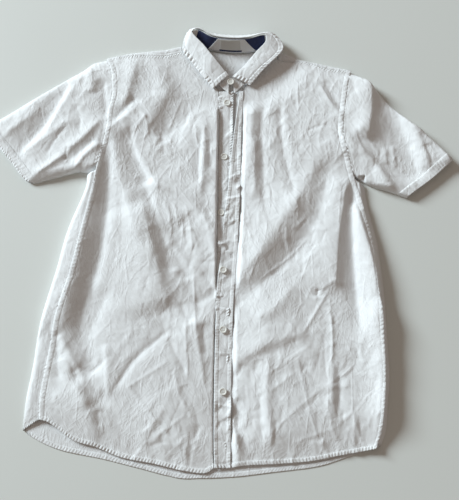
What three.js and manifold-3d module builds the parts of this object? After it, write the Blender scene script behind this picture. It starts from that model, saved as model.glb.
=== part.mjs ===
// A short-sleeved button-up shirt lying on its back, crumpled, collar towards +Y.
// Millimetres, +Z up, resting on z = 0. "Right" and "left" are the wearer's, so right is the -X side.
import * as THREE from 'three';
import * as BufferGeometryUtils from 'three/addons/utils/BufferGeometryUtils.js';
import Module from 'manifold-3d';

// ---- driving dimensions ----
const CLOTH = 1.5; // wall of one layer, with its hems, seams and fine crumple
const SEAM = 0.3; // clearance between two layers
const SEAM_LINE = 1.3; // clearance in plan where two pieces meet along a curved seam
const LOWEST_TOP = 2 * CLOTH + 2 * SEAM; // outside of an upper layer that lies on a lower one
const FOLD_MIDDLE = 2.3; // height of the outermost line of a folded side
const FOLD_ROUND = 10; // how far in from a folded side the upper layer is still rounding over
const FOLD_UNDER = 3; // the same under the fold, where the layer turns flat on the surface
const SLEEVE_HEM = 15;
const SLEEVE_HEM_RISE = 0.8;
const LEAF = 2; // wall of the turned-down collar
const STAND = 1.8; // wall of the collar stand
const LINING = 1;
const BUTTON = { radius: 5.7, thick: 2.4, rim: 1.1, dish: 0.7, hole: 0.9, holeOffset: 1.6 };
const BUTTON_PITCH = 95.6;
const FIRST_BUTTON_Y = 253;

const COLOURS = { shirting: 0xeceeee, lining: 0x27304f, label: 0xb9bcba, button: 0xe9e7e0 };

// ---- outlines, columns x and y, from the hem up or from the right side to the left ----
const RIGHT_SIDE_FOLD = [[-317, -284], [-315, -241], [-307, -189], [-299, -118], [-278, -35], [-262, 33],
  [-236, 105], [-235, 126]];
const RIGHT_SIDE_SEAM = [[-291, -267], [-290, -229], [-282, -175], [-272, -107], [-253, -41], [-237, 33],
  [-223, 100], [-217, 136]];
const RIGHT_ARMHOLE = [[-217, 136], [-213, 160], [-208, 184], [-203, 210], [-202, 237], [-196, 262],
  [-199, 308], [-208, 331]];
const LEFT_SIDE_FOLD = [[231, -306], [239, -287], [245, -241], [249, -201], [249, -178], [248, -129],
  [247, -82], [243, -25], [238, 17], [227, 67], [220, 119]];
const LEFT_SIDE_SEAM = [[223, -309], [231, -287], [237, -241], [241, -201], [241, -178], [240, -129],
  [239, -82], [235, -25], [230, 17], [218, 67], [203, 122]];
const LEFT_ARMHOLE = [[203, 122], [198, 144], [188, 188], [188, 214], [193, 250], [200, 292], [205, 308]];
const BAND_EDGE = [[-24, -339], [-25, -298], [-25, -238], [-24, -161], [-22, -82], [-20, 17], [-19, 153],
  [-18, 224], [-19, 274]];
const PLACKET_RIGHT_EDGE = [[-23, -339], [-24, -298], [-24, -238], [-23, -161], [-21, -82], [-19, -50],
  [-13, 0], [-7.6, 62], [-4, 90], [1, 140], [7, 196], [15, 255], [16, 274]];
const PLACKET_LEFT_EDGE = [[2, -339], [2, -298], [3, -238], [4, -161], [7, -82], [12, -17], [17, 84],
  [19, 153], [21, 224], [24, 274]];
const FRONT_RIGHT_HEM = [[-291, -267], [-276, -272], [-238, -298], [-204, -308], [-166, -323], [-113, -333],
  [-74, -342], [-35, -346], [-24, -339]];
const FRONT_LEFT_HEM = [[2, -339], [17, -336], [71, -333], [123, -329], [166, -321], [218, -311],
  [223, -309]];
const BACK_HEM = [[-317, -284], [-304, -293], [-264, -311], [-193, -326], [-139, -339], [-74, -354],
  [-45, -354], [7, -352], [60, -346], [138, -336], [186, -321], [231, -306]];
const RIGHT_SHOULDER_SEAM = [[-208, 331], [-186, 336], [-162, 338], [-136, 338], [-110, 338], [-83, 345]];
const LEFT_SHOULDER_SEAM = [[88, 330], [129, 325], [151, 318], [171, 311], [205, 308]];
const SHOULDER_FOLD = [[-208, 334], [-172, 343], [-133, 348], [-102, 352], [-82, 357], [90, 345], [121, 332],
  [150, 325], [171, 320], [191, 315], [205, 311]];
const NECK_BACK = [[-82, 352], [-63, 352], [-35, 349], [1, 345], [35, 346], [63, 350], [90, 341]];
const RIGHT_NECK = [[-83, 345], [-72, 344], [-54, 324], [-36, 303], [-26, 286], [-19, 274]];
const LEFT_NECK = [[24, 274], [30, 286], [42, 303], [60, 322], [74, 336], [88, 330]];
const YOKE_SEAM_Y = 275;

// Sleeves: the root is the armhole, then the upper fold, the lower fold and the hem.
const RIGHT_SLEEVE = {
  root: [...RIGHT_ARMHOLE].reverse().concat([[-235, 129]]),
  upper: [[-208, 331], [-231, 325], [-249, 311], [-287, 288], [-327, 262], [-362, 238], [-411, 206]],
  lower: [[-235, 129], [-246, 131], [-271, 125], [-300, 117], [-323, 111]],
  cuff: [[-411, 206], [-383, 173], [-356, 140], [-337, 117], [-323, 111]],
};
const LEFT_SLEEVE = {
  root: [...LEFT_ARMHOLE].reverse().concat([[221, 113]]),
  upper: [[205, 308], [223, 298], [235, 290], [254, 267], [286, 233], [325, 199], [370, 151]],
  lower: [[221, 113], [231, 107], [264, 96], [290, 86]],
  cuff: [[370, 151], [333, 118], [306, 98], [290, 86]],
};

// The main folds, each a line through three points, as wide and as high as given; troughs are negative.
const FOLDS = [
  // x0, y0, x1, y1, x2, y2, width, height
  { at: 'right side, over the seam', line: [-218, 143, -242, 15, -285, -238], width: 12, height: 5 },
  { at: 'right side, inside the seam', line: [-206, 151, -209, -1, -228, -153], width: 15, height: -5 },
  { at: 'right side, second ridge', line: [-195, 169, -181, 40, -206, -153], width: 14, height: 6 },
  { at: 'from the right armhole to the band', line: [-173, 208, -123, 131, -30, 44], width: 12, height: 8 },
  { at: 'under that ridge', line: [-179, 169, -147, 108, -112, 15], width: 12, height: -4 },
  { at: 'right chest, shallow', line: [-81, 294, -107, 236, -129, 197], width: 20, height: -4 },
  { at: 'right shoulder to armhole', line: [-136, 320, -151, 267, -170, 225], width: 15, height: 5 },
  { at: 'right chest, towards the collar', line: [-30, 267, -63, 225, -102, 165], width: 12, height: 4 },
  { at: 'rolled edge beside the band', line: [-27, 262, -27, 151, -29, 5], width: 8, height: 6 },
  { at: 'second roll beside the band', line: [-46, 240, -45, 169, -44, 91], width: 7, height: 3 },
  { at: 'right waist, shallow', line: [-80, 15, -60, -42, -42, -90], width: 14, height: -4 },
  { at: 'right waist crease', line: [-119, 29, -76, -42, -41, -204], width: 8, height: 4 },
  { at: 'right hip, pressed square, top', line: [-84, -167, -124, -189, -156, -215], width: 7, height: 3 },
  { at: 'right hip, pressed square, side', line: [-112, -141, -140, -164, -170, -204], width: 7, height: 3 },
  { at: 'right hip, pressed square, hem', line: [-153, -215, -113, -263, -74, -311], width: 7, height: 3 },
  { at: 'right hip ridge', line: [-255, -174, -226, -201, -181, -241], width: 10, height: 6 },
  { at: 'under the hip ridge', line: [-254, -198, -232, -223, -193, -247], width: 8, height: -4 },
  { at: 'open corner of the right hem', line: [-275, -268, -237, -292, -203, -303], width: 11, height: 4 },
  { at: 'from the left armhole to the placket', line: [181, 186, 99, 78, 20, -21], width: 14, height: 8 },
  { at: 'under that ridge', line: [171, 120, 106, 35, 23, -69], width: 14, height: -5 },
  { at: 'left waist ridge', line: [157, -58, 88, -101, 10, -174], width: 13, height: 7 },
  { at: 'left hip, shallow', line: [176, -82, 111, -153, 13, -204], width: 14, height: -4 },
  { at: 'left waist pinch', line: [103, -160, 129, -111, 159, -63], width: 7, height: 5 },
  { at: 'left side, inner ridge', line: [189, 169, 180, 66, 167, -42], width: 12, height: 8 },
  { at: 'left side, deep trough', line: [199, 113, 191, 15, 197, -114], width: 9, height: -6 },
  { at: 'left side, outer ridge', line: [206, 90, 216, -17, 229, -130], width: 11, height: 10 },
  { at: 'left side, rolled edge to the hem', line: [229, -130, 229, -215, 214, -300], width: 13, height: 12 },
  { at: 'rolled edge beside the placket', line: [37, 262, 36, 186, 28, 57], width: 8, height: 7 },
  { at: 'beyond that roll', line: [54, 258, 58, 169, 45, 57], width: 10, height: -4 },
  { at: 'lower roll beside the placket', line: [20, -200, 21, -250, 24, -300], width: 7, height: 5 },
  { at: 'left hem, first flute', line: [54, -177, 58, -238, 66, -297], width: 10, height: 5 },
  { at: 'left hem, second flute', line: [114, -192, 126, -245, 134, -293], width: 9, height: 5 },
  { at: 'left hem, third flute', line: [158, -130, 159, -207, 163, -283], width: 10, height: 6 },
  { at: 'right sleeve, along the top', line: [-234, 312, -303, 262, -376, 212], width: 12, height: 5 },
  { at: 'right sleeve, shallow', line: [-233, 289, -289, 241, -342, 176], width: 12, height: -3 },
  { at: 'right sleeve, middle', line: [-232, 256, -274, 208, -331, 155], width: 13, height: 6 },
  { at: 'right sleeve, tucked edge', line: [-225, 200, -271, 160, -323, 135], width: 9, height: 6 },
  { at: 'left sleeve, from the shoulder', line: [217, 289, 228, 243, 219, 195], width: 14, height: 10 },
  { at: 'left sleeve, shallow', line: [244, 262, 265, 195, 275, 143], width: 17, height: -4 },
  { at: 'left sleeve, towards the hem', line: [283, 222, 304, 178, 321, 131], width: 14, height: 8 },
  { at: 'left sleeve, underarm', line: [196, 176, 238, 136, 283, 104], width: 12, height: 9 },
];
const SWELL = 3.5; // how far the crumpled upper layer stands off the back between its folds
const UNDER_COLLAR = { x: 2, y: 318, rx: 88, ry: 62, fade: 0.3 }; // the fronts lie flat there

// Collar stations from the right front end, round the back, to the left front end, columns x, y and z:
// the seam on the neck, the roll where the collar turns down, and the outer edge of the leaves.
const COLLAR = {
  neck: [[-1, 269, 6.5], [-30, 295, 6.5], [-54, 324, 6.5], [-71, 351, 6], [-63, 355, 2.8], [-35, 351, 2.2],
    [1, 346, 2.2], [35, 347, 2.2], [63, 353, 2.8], [76, 350, 6], [60, 324, 6.5], [37, 297, 6.5],
    [8, 269, 6.5]],
  roll: [[-1, 298, 12], [-23, 323, 16], [-43, 348, 20], [-64, 375, 24], [-52, 379, 26], [-30, 367, 26],
    [1, 362, 26], [31, 363, 26], [60, 369, 25], [62, 358, 22], [44, 338, 19], [25, 316, 15], [5, 297, 12]],
  edge: [[-28, 277, 8], [-47, 301, 8], [-64, 324, 8], [-80, 349, 8], [-66, 388, 7], [-30, 382, 2.5],
    [1, 379, 2.5], [32, 379, 2.5], [72, 377, 5], [88, 358, 8], [91, 343, 8], [60, 310, 8], [35, 282, 8]],
};
const COLLAR_STEPS = 28;

// ---- small helpers ----
const lerp = THREE.MathUtils.lerp;
const clamp01 = (value) => THREE.MathUtils.clamp(value, 0, 1);
const smooth = (value) => THREE.MathUtils.smoothstep(value, 0, 1);
const steps = (count) => Array.from({ length: count + 1 }, (_, i) => i / count);

// A smooth line through the rows of an outline, read by its share of the length.
function through(rows) {
  const points = rows.map(([x, y, z = 0]) => new THREE.Vector3(x, y, z));
  return new THREE.CatmullRomCurve3(points, false, 'centripetal');
}

// One column of an outline read at a value of the other, along the same smooth line.
const SMOOTHED = new Map();
function lookUp(rows, from, to, value) {
  if (!SMOOTHED.has(rows)) {
    const points = through(rows).getPoints(8 * (rows.length - 1));
    SMOOTHED.set(rows, points.map((p) => [p.x, p.y]).sort((a, b) => a[from] - b[from]));
  }
  const sorted = SMOOTHED.get(rows);
  const next = sorted.findIndex((row) => row[from] > value);
  if (next === 0) return sorted[0][to];
  if (next < 0) return sorted[sorted.length - 1][to];
  const [low, high] = [sorted[next - 1], sorted[next]];
  return lerp(low[to], high[to], (value - low[from]) / (high[from] - low[from]));
}
const xAt = (rows, y) => lookUp(rows, 1, 0, y);
const yAt = (rows, x) => lookUp(rows, 0, 1, x);

// The point at (u, v) of a patch that fills four outlines; u runs along the hem, v up the sides.
function fill({ south, north, west, east }, u, v) {
  const [s, n, w, e] = [south.getPointAt(u), north.getPointAt(u), west.getPointAt(v), east.getPointAt(v)];
  const corners = [south.getPointAt(0), south.getPointAt(1), north.getPointAt(0), north.getPointAt(1)];
  const at = (axis) => {
    const ruled = lerp(s[axis], n[axis], v) + lerp(w[axis], e[axis], u);
    const low = lerp(corners[0][axis], corners[1][axis], u);
    const high = lerp(corners[2][axis], corners[3][axis], u);
    return ruled - lerp(low, high, v);
  };
  return [at('x'), at('y')];
}

// ---- the crumpled surface ----
function foldLines() {
  return FOLDS.map(({ line: [x0, y0, x1, y1, x2, y2], width, height }) => {
    const curve = through([[x0, y0], [x1, y1], [x2, y2]]);
    return { points: curve.getPoints(8), width, height };
  });
}
const FOLD_LINES = foldLines();

function distanceTo(points, x, y) {
  let nearest = Infinity;
  for (let i = 0; i + 1 < points.length; i += 1) {
    const [a, b] = [points[i], points[i + 1]];
    const [dx, dy] = [b.x - a.x, b.y - a.y];
    const share = clamp01(((x - a.x) * dx + (y - a.y) * dy) / (dx * dx + dy * dy));
    nearest = Math.min(nearest, Math.hypot(x - a.x - share * dx, y - a.y - share * dy));
  }
  return nearest;
}

// Height of the outside of the upper layer at x, y.
function topHeight(x, y) {
  let rise = SWELL;
  for (const { points, width, height } of FOLD_LINES) {
    rise += height * Math.exp(-((distanceTo(points, x, y) / width) ** 2));
  }
  const { x: collarX, y: collarY, rx, ry, fade } = UNDER_COLLAR;
  const under = Math.hypot((x - collarX) / rx, (y - collarY) / ry);
  rise *= smooth((under - 1) / fade);
  const leftFold = xAt(LEFT_SIDE_FOLD, y);
  if (y < LEFT_ARMHOLE[0][1]) rise *= smooth((leftFold - x) / FOLD_ROUND);
  return LOWEST_TOP + 0.5 * (rise + Math.sqrt(rise * rise + 0.8));
}

// Share of its full height that a layer has at a distance from the fold it turns over.
const rounding = (distance, reach) => Math.sqrt(1 - (1 - clamp01(distance / reach)) ** 2);

// ---- solids ----
function solidFrom(positions, triangles) {
  const geometry = new THREE.BufferGeometry();
  geometry.setAttribute('position', new THREE.Float32BufferAttribute(positions.flatMap((p) => p), 3));
  let volume = 0;
  for (const [a, b, c] of triangles) {
    const [p, q, r] = [a, b, c].map((i) => new THREE.Vector3(...positions[i]));
    volume += p.dot(q.cross(r));
  }
  const facing = volume > 0 ? triangles : triangles.map(([a, b, c]) => [a, c, b]);
  geometry.setIndex(facing.flat());
  geometry.computeVertexNormals();
  return geometry;
}

// A wall between an outer and an inner grid of points. Round a tube the rows close on themselves.
function wall(outer, inner, closed = false) {
  const [rows, columns] = [outer.length, outer[0].length];
  const positions = [...outer.flat(), ...inner.flat()];
  const at = (side, row, column) => side * rows * columns + row * columns + (column % columns);
  const triangles = [];
  const quad = (a, b, c, d) => triangles.push([a, b, c], [a, c, d]);
  const across = closed ? columns : columns - 1;
  for (let row = 0; row + 1 < rows; row += 1) {
    for (let column = 0; column < across; column += 1) {
      const corners = [[row, column], [row, column + 1], [row + 1, column + 1], [row + 1, column]];
      quad(...corners.map(([r, c]) => at(0, r, c)));
      const [a, b, c, d] = corners.map(([r, k]) => at(1, r, k));
      triangles.push([a, c, b], [a, d, c]);
    }
  }
  for (let column = 0; column < across; column += 1) {
    quad(at(0, 0, column), at(1, 0, column), at(1, 0, column + 1), at(0, 0, column + 1));
    const last = rows - 1;
    quad(at(0, last, column), at(0, last, column + 1), at(1, last, column + 1), at(1, last, column));
  }
  for (let row = 0; row + 1 < rows && !closed; row += 1) {
    quad(at(0, row, 0), at(0, row + 1, 0), at(1, row + 1, 0), at(1, row, 0));
    const edge = columns - 1;
    quad(at(0, row, edge), at(1, row, edge), at(1, row + 1, edge), at(0, row + 1, edge));
  }
  return solidFrom(positions, triangles);
}

// A layer over a patch: its outside is at height(x, y, u, v) and its inside a wall lower.
function layer(outline, height, across, up, thick = CLOTH) {
  const outer = steps(up).map((v) => steps(across).map((u) => {
    const [x, y] = fill(outline, u, v);
    return [x, y, height(x, y, u, v)];
  }));
  return wall(outer, outer.map((row) => row.map(([x, y, z]) => [x, y, z - thick])));
}

// ---- fronts ----
const FRONT_ACROSS = 18;
const FRONT_UP = 30;
const shifted = (rows, dx) => rows.map(([x, y]) => [x + dx, y]);

function frontRight() {
  const edge = shifted(BAND_EDGE, -SEAM);
  const side = [...RIGHT_SIDE_SEAM, ...RIGHT_ARMHOLE.slice(1)].map(([x, y]) => [x + SEAM_LINE, y]);
  const top = [...RIGHT_SHOULDER_SEAM, ...RIGHT_NECK.slice(1)].map(([x, y]) => [x, y - SEAM_LINE]);
  const hem = [...FRONT_RIGHT_HEM];
  [side[side.length - 1], top[0]] = Array(2).fill([RIGHT_ARMHOLE.at(-1)[0] + SEAM_LINE, top[0][1]]);
  [hem[0], hem[hem.length - 1]] = [side[0], edge[0]];
  top[top.length - 1] = edge[edge.length - 1];
  const outline = { south: through(hem), north: through(top), west: through(side), east: through(edge) };
  return layer(outline, topHeight, FRONT_ACROSS, FRONT_UP);
}

function frontLeft() {
  const edge = shifted(PLACKET_LEFT_EDGE, SEAM);
  const side = [...LEFT_SIDE_SEAM, ...LEFT_ARMHOLE.slice(1)].map(([x, y]) => [x - SEAM_LINE, y]);
  const top = [...LEFT_NECK, ...LEFT_SHOULDER_SEAM.slice(1)].map(([x, y]) => [x, y - SEAM_LINE]);
  const hem = [...FRONT_LEFT_HEM];
  [hem[0], hem[hem.length - 1]] = [edge[0], side[0]];
  top[0] = edge[edge.length - 1];
  [side[side.length - 1], top[top.length - 1]] = Array(2).fill([side.at(-1)[0], top.at(-1)[1]]);
  const outline = { south: through(hem), north: through(top), west: through(edge), east: through(side) };
  const beside = 9; // the front comes out low beside the placket, then swells
  const height = (x, y) => {
    const free = smooth((x - xAt(PLACKET_LEFT_EDGE, y)) / beside);
    return lerp(LOWEST_TOP + 0.2, topHeight(x, y), free);
  };
  return layer(outline, height, FRONT_ACROSS, FRONT_UP);
}

// ---- button band and placket ----
const BAND_TOP = LOWEST_TOP - 0.2;
const PLACKET_TOP = BAND_TOP + SEAM + CLOTH + 0.1;

function strip(westRows, eastRows, height, across, up, thick) {
  const [west, east] = [through(westRows), through(eastRows)];
  const end = (index) => through([westRows.at(index), eastRows.at(index)]);
  return layer({ south: end(0), north: end(-1), west, east }, height, across, up, thick);
}

function buttonBand() {
  const east = PLACKET_LEFT_EDGE.map(([x, y]) => [Math.min(x - 2, 2 + 0.02 * y), y]);
  return strip(BAND_EDGE, east, () => BAND_TOP, 2, 20, CLOTH);
}

function placketHeight(x, y, u) {
  const lift = 2.2 * u ** 2; // its free edge stands up
  const ripple = 0.4 * Math.sin(y / 9) * (1 - Math.abs(2 * u - 1));
  return PLACKET_TOP + lift + Math.max(0, ripple);
}

function placket() {
  return strip(PLACKET_RIGHT_EDGE, PLACKET_LEFT_EDGE, placketHeight, 4, 40, CLOTH);
}

// ---- back, wrapped up and over at both sides ----
const BACK_ROWS = [0, 0.025, 0.06, 0.12, 0.19, 0.26, 0.33, 0.4, 0.47, 0.54, 0.61, 0.67, 0.712, 0.7317, 0.7537,
  0.8, 0.85, 0.9, 0.95, 1];
// The rows up to lastRow have wrapped sides; seamTop is where the side seam ends under the arm.
const BACK_SIDES = {
  right: { fold: RIGHT_SIDE_FOLD, seam: RIGHT_SIDE_SEAM, armhole: RIGHT_ARMHOLE, inward: 1, lastRow: 0.7317,
    seamTop: 134 },
  left: { fold: LEFT_SIDE_FOLD, seam: LEFT_SIDE_SEAM, armhole: LEFT_ARMHOLE, inward: -1, lastRow: 0.712,
    seamTop: 119 },
};
const OVER = [0, 0.45, 0.75, 0.92, 1]; // shares of the way from a side seam out to the fold
const UNDER = [0.4, 1]; // shares of the turn under the fold
const FLAT_COLUMNS = 9;

function sideOfBack(row, { fold, seam, armhole, inward, lastRow, seamTop }) {
  const yFold = lerp(fold[0][1], YOKE_SEAM_Y, row);
  if (row > lastRow) {
    const pitch = 3;
    return [...OVER, ...UNDER].map((_, index) => {
      const x = xAt(armhole, yFold) + inward * (SEAM_LINE + index * pitch);
      return { outer: [x, yFold, 0], inner: [x, yFold, CLOTH] };
    });
  }
  const xFold = xAt(fold, yFold);
  const ySeam = lerp(seam[0][1], seamTop, row / lastRow);
  const over = OVER.map((share) => {
    const y = lerp(ySeam, yFold, share);
    const x = lerp(xAt(seam, ySeam), xFold, share);
    const top = topHeight(x, y);
    const up = rounding(Math.abs(x - xFold), FOLD_ROUND);
    return {
      outer: [x, y, FOLD_MIDDLE + (top - FOLD_MIDDLE) * up],
      inner: [lerp(xAt(seam, ySeam), xFold + inward * CLOTH, share), y,
        FOLD_MIDDLE + (top - CLOTH - FOLD_MIDDLE) * up],
    };
  });
  const under = UNDER.map((share) => {
    const down = rounding(share * FOLD_UNDER, FOLD_UNDER);
    return {
      outer: [xFold + inward * share * FOLD_UNDER, yFold, FOLD_MIDDLE * (1 - down)],
      inner: [xFold + inward * (CLOTH + share * FOLD_UNDER), yFold,
        FOLD_MIDDLE - (FOLD_MIDDLE - CLOTH) * down],
    };
  });
  return [...over, ...under];
}

function back() {
  const rows = BACK_ROWS.map((row) => {
    const right = sideOfBack(row, BACK_SIDES.right);
    const left = sideOfBack(row, BACK_SIDES.left);
    const [from, to] = [right.at(-1), left.at(-1)];
    const middle = steps(FLAT_COLUMNS).slice(1, -1).map((share) => {
      const flat = (side) => {
        const x = lerp(from[side][0], to[side][0], share);
        return [x, lerp(yAt(BACK_HEM, x), YOKE_SEAM_Y, row)];
      };
      return { outer: [...flat('outer'), 0], inner: [...flat('inner'), CLOTH] };
    });
    return [...right, ...middle, ...left.reverse()];
  });
  return wall(rows.map((row) => row.map((p) => p.outer)), rows.map((row) => row.map((p) => p.inner)));
}

// ---- yoke, over the shoulders and flat behind the neck ----
const YOKE_COLUMNS = 26;
const YOKE_FLAT = 4;

function yokeSection(x) {
  const neck = x > NECK_BACK[0][0] && x < NECK_BACK.at(-1)[0];
  const foldY = neck ? yAt(NECK_BACK, x) : yAt(SHOULDER_FOLD, x);
  const start = YOKE_SEAM_Y + SEAM;
  if (neck) {
    const pitch = 2.5;
    return [...OVER, ...UNDER].map((_, index) => {
      const y = foldY - index * pitch;
      return { outer: [x, y, 0], inner: [x, y, CLOTH] };
    }).concat(flatYoke(x, foldY - (OVER.length + UNDER.length - 1) * pitch, start));
  }
  const seamY = yAt(x < 0 ? RIGHT_SHOULDER_SEAM : LEFT_SHOULDER_SEAM, x);
  const round = Math.min(FOLD_ROUND, foldY - seamY);
  const over = OVER.map((share) => {
    const y = lerp(seamY, foldY, share);
    const top = topHeight(x, y);
    const up = rounding(foldY - y, round);
    return {
      outer: [x, y, FOLD_MIDDLE + (top - FOLD_MIDDLE) * up],
      inner: [x, lerp(seamY, foldY - CLOTH, share), FOLD_MIDDLE + (top - CLOTH - FOLD_MIDDLE) * up],
    };
  });
  const under = UNDER.map((share) => {
    const down = rounding(share * FOLD_UNDER, FOLD_UNDER);
    const y = foldY - share * FOLD_UNDER;
    return {
      outer: [x, y, FOLD_MIDDLE * (1 - down)],
      inner: [x, y - CLOTH, FOLD_MIDDLE - (FOLD_MIDDLE - CLOTH) * down],
    };
  });
  return [...over, ...under, ...flatYoke(x, foldY - FOLD_UNDER - CLOTH, start)];
}

function flatYoke(x, from, to) {
  return steps(YOKE_FLAT).slice(1).map((share) => {
    const y = lerp(from, to, share);
    return { outer: [x, y, 0], inner: [x, y, CLOTH] };
  });
}

function yoke() {
  const [right, left] = [RIGHT_ARMHOLE.at(-1), LEFT_ARMHOLE.at(-1)];
  const columns = steps(YOKE_COLUMNS).map((share) => {
    const section = yokeSection(lerp(right[0], left[0], share));
    const fitted = ([, y, z]) => {
      const from = xAt(RIGHT_ARMHOLE, Math.min(y, right[1])) + SEAM_LINE;
      const to = xAt(LEFT_ARMHOLE, Math.min(y, left[1])) - SEAM_LINE;
      return [lerp(from, to, share), y, z];
    };
    return section.map(({ outer, inner }) => ({ outer: fitted(outer), inner: fitted(inner) }));
  });
  return wall(columns.map((c) => c.map((p) => p.outer)), columns.map((c) => c.map((p) => p.inner)));
}

// ---- sleeves, flattened tubes ----
const SLEEVE_STEPS = 11;
const SLEEVE_HALF = 11;

function sleeve({ root, upper, lower, cuff }) {
  const outline = { west: through(upper), east: through(lower), south: through(root), north: through(cuff) };
  const length = outline.west.getLength();
  const rings = steps(SLEEVE_STEPS).map((along) => {
    const [a, b] = [fill(outline, 0, along), fill(outline, 1, along)];
    const width = Math.hypot(b[0] - a[0], b[1] - a[1]);
    const hem = along * length > length - SLEEVE_HEM ? SLEEVE_HEM_RISE : 0;
    const half = (upperSide) => steps(SLEEVE_HALF).slice(0, -1).map((share) => {
      const turn = (1 - Math.cos(Math.PI * share)) / 2;
      const across = upperSide ? turn : 1 - turn;
      const inset = lerp(CLOTH / width, 1 - CLOTH / width, across);
      const edge = Math.min(across, 1 - across) * width;
      const [x, y] = fill(outline, across, along);
      const [xi, yi] = fill(outline, inset, along);
      const top = topHeight(x, y) + hem;
      if (upperSide) {
        const up = rounding(edge, FOLD_ROUND);
        return [[x, y, FOLD_MIDDLE + (top - FOLD_MIDDLE) * up],
          [xi, yi, FOLD_MIDDLE + (top - hem - CLOTH - FOLD_MIDDLE) * up]];
      }
      const down = rounding(edge, FOLD_UNDER);
      return [[x, y, FOLD_MIDDLE * (1 - down)], [xi, yi, FOLD_MIDDLE - (FOLD_MIDDLE - CLOTH) * down]];
    });
    return [...half(true), ...half(false)];
  });
  return wall(rings.map((r) => r.map((p) => p[0])), rings.map((r) => r.map((p) => p[1])), true);
}

// ---- collar ----
const NECK = through(COLLAR.neck);
const ROLL = through(COLLAR.roll);
const EDGE = through(COLLAR.edge);
const station = (curve, t) => curve.getPoint(t);

// A point of the stand at a share w of the way from the neck to the roll.
function standPoint(t, w) {
  const [low, high] = [station(NECK, t), station(ROLL, t)];
  const point = low.clone().lerp(high, w);
  const flatness = clamp01((low.distanceTo(high) / Math.max(1, high.z - low.z) - 1) / 2);
  point.z = lerp(low.z, high.z, w ** (1 + flatness));
  return point;
}

// A point of the leaf at a share w of the way from the roll to its edge.
function leafPoint(t, w) {
  const [high, low] = [station(ROLL, t), station(EDGE, t)];
  const point = high.clone().lerp(low, w);
  const bow = 3 * Math.sin(Math.PI * Math.min(1, w * 1.15)) ** 0.8;
  point.z += bow;
  return point;
}

function normalAt(surface, t, w) {
  const d = 0.004;
  const along = surface(Math.min(1, t + d), w).sub(surface(Math.max(0, t - d), w));
  const up = surface(t, Math.min(1, w + d * 5)).sub(surface(t, Math.max(0, w - d * 5)));
  return along.cross(up).normalize();
}

// A wall on a collar surface between two distances from it.
function onCollar(surface, [t0, t1], [w0, w1], [near, far], along, up) {
  const grid = (distance) => steps(along).map((i) => steps(up).map((j) => {
    const [t, w] = [lerp(t0, t1, i), lerp(w0, w1, j)];
    const point = surface(t, w);
    return point.addScaledVector(normalAt(surface, t, w), distance).toArray();
  }));
  return wall(grid(near), grid(far));
}

const collarStand = () => onCollar(standPoint, [0, 1], [0, 0.83], [0, STAND], COLLAR_STEPS, 4);
const collarFall = () => onCollar(leafPoint, [0, 1], [0.02, 1], [0, -LEAF], COLLAR_STEPS, 6);

const LINING_NEAR = STAND + 2 * SEAM;
const PANEL_NEAR = LINING_NEAR + LINING + SEAM;
const LABEL_NEAR = PANEL_NEAR + LINING + SEAM;

// A piece sewn inside the stand, over whole steps of the collar so that it lies along the stand's faces.
function insideStand(firstStep, lastStep, heights, near) {
  const span = [firstStep / COLLAR_STEPS, lastStep / COLLAR_STEPS];
  return onCollar(standPoint, span, heights, [near, near + LINING], lastStep - firstStep, 3);
}

// ---- buttons ----
const manifold = await Module();
manifold.setup();

function toManifold(geometry) {
  const bare = geometry.clone();
  bare.deleteAttribute('normal');
  bare.deleteAttribute('uv');
  const merged = BufferGeometryUtils.mergeVertices(bare, 1e-4);
  return new manifold.Manifold(new manifold.Mesh({
    numProp: 3,
    vertProperties: new Float32Array(merged.attributes.position.array),
    triVerts: new Uint32Array(merged.index.array),
  }));
}

function fromManifold(solid) {
  const mesh = solid.getMesh();
  const geometry = new THREE.BufferGeometry();
  geometry.setAttribute('position', new THREE.Float32BufferAttribute(mesh.vertProperties, 3));
  geometry.setIndex([...mesh.triVerts]);
  geometry.computeVertexNormals();
  return geometry;
}

// A dished disc with a rim and four holes, standing on z = 0.
function buttonGeometry() {
  const { radius, thick, rim, dish, hole, holeOffset } = BUTTON;
  const profile = [[0, 0], [radius - 0.8, 0], [radius, 0.8], [radius, thick - 0.5], [radius - 0.4, thick],
    [radius - rim, thick], [radius - rim - 0.6, thick - dish], [0, thick - dish]];
  const disc = new THREE.LatheGeometry(profile.map(([r, z]) => new THREE.Vector2(r, z)), 12);
  let solid = toManifold(disc.rotateX(Math.PI / 2));
  for (const [sx, sy] of [[1, 1], [1, -1], [-1, 1], [-1, -1]]) {
    const drill = new THREE.CylinderGeometry(hole, hole, 3 * thick, 6);
    drill.rotateX(Math.PI / 2).translate((sx * holeOffset) / Math.SQRT2, (sy * holeOffset) / Math.SQRT2, 0);
    solid = solid.subtract(toManifold(drill));
  }
  return fromManifold(solid);
}

// ---- assembly ----
const shirt = new THREE.Group();

function finish(kind) {
  const roughness = kind === 'button' ? 0.35 : 0.9;
  return new THREE.MeshStandardMaterial({ color: COLOURS[kind], roughness, metalness: 0 });
}

function add(name, geometry, kind) {
  const mesh = new THREE.Mesh(geometry, finish(kind));
  mesh.name = name;
  shirt.add(mesh);
  return mesh;
}

function addButtons() {
  const stand = add('button_stand', buttonGeometry(), 'button');
  stand.position.set(2, 288, 10.4);
  for (let i = 0; i < 6; i += 1) {
    const y = FIRST_BUTTON_Y - i * BUTTON_PITCH;
    const onBand = i < 3;
    const x = onBand ? lerp(-4, -14, i / 2) : -10;
    const button = add(`button_${i + 1}`, buttonGeometry(), 'button');
    button.position.set(x, y, (onBand ? BAND_TOP : PLACKET_TOP + 1.2) + SEAM);
  }
}

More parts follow.
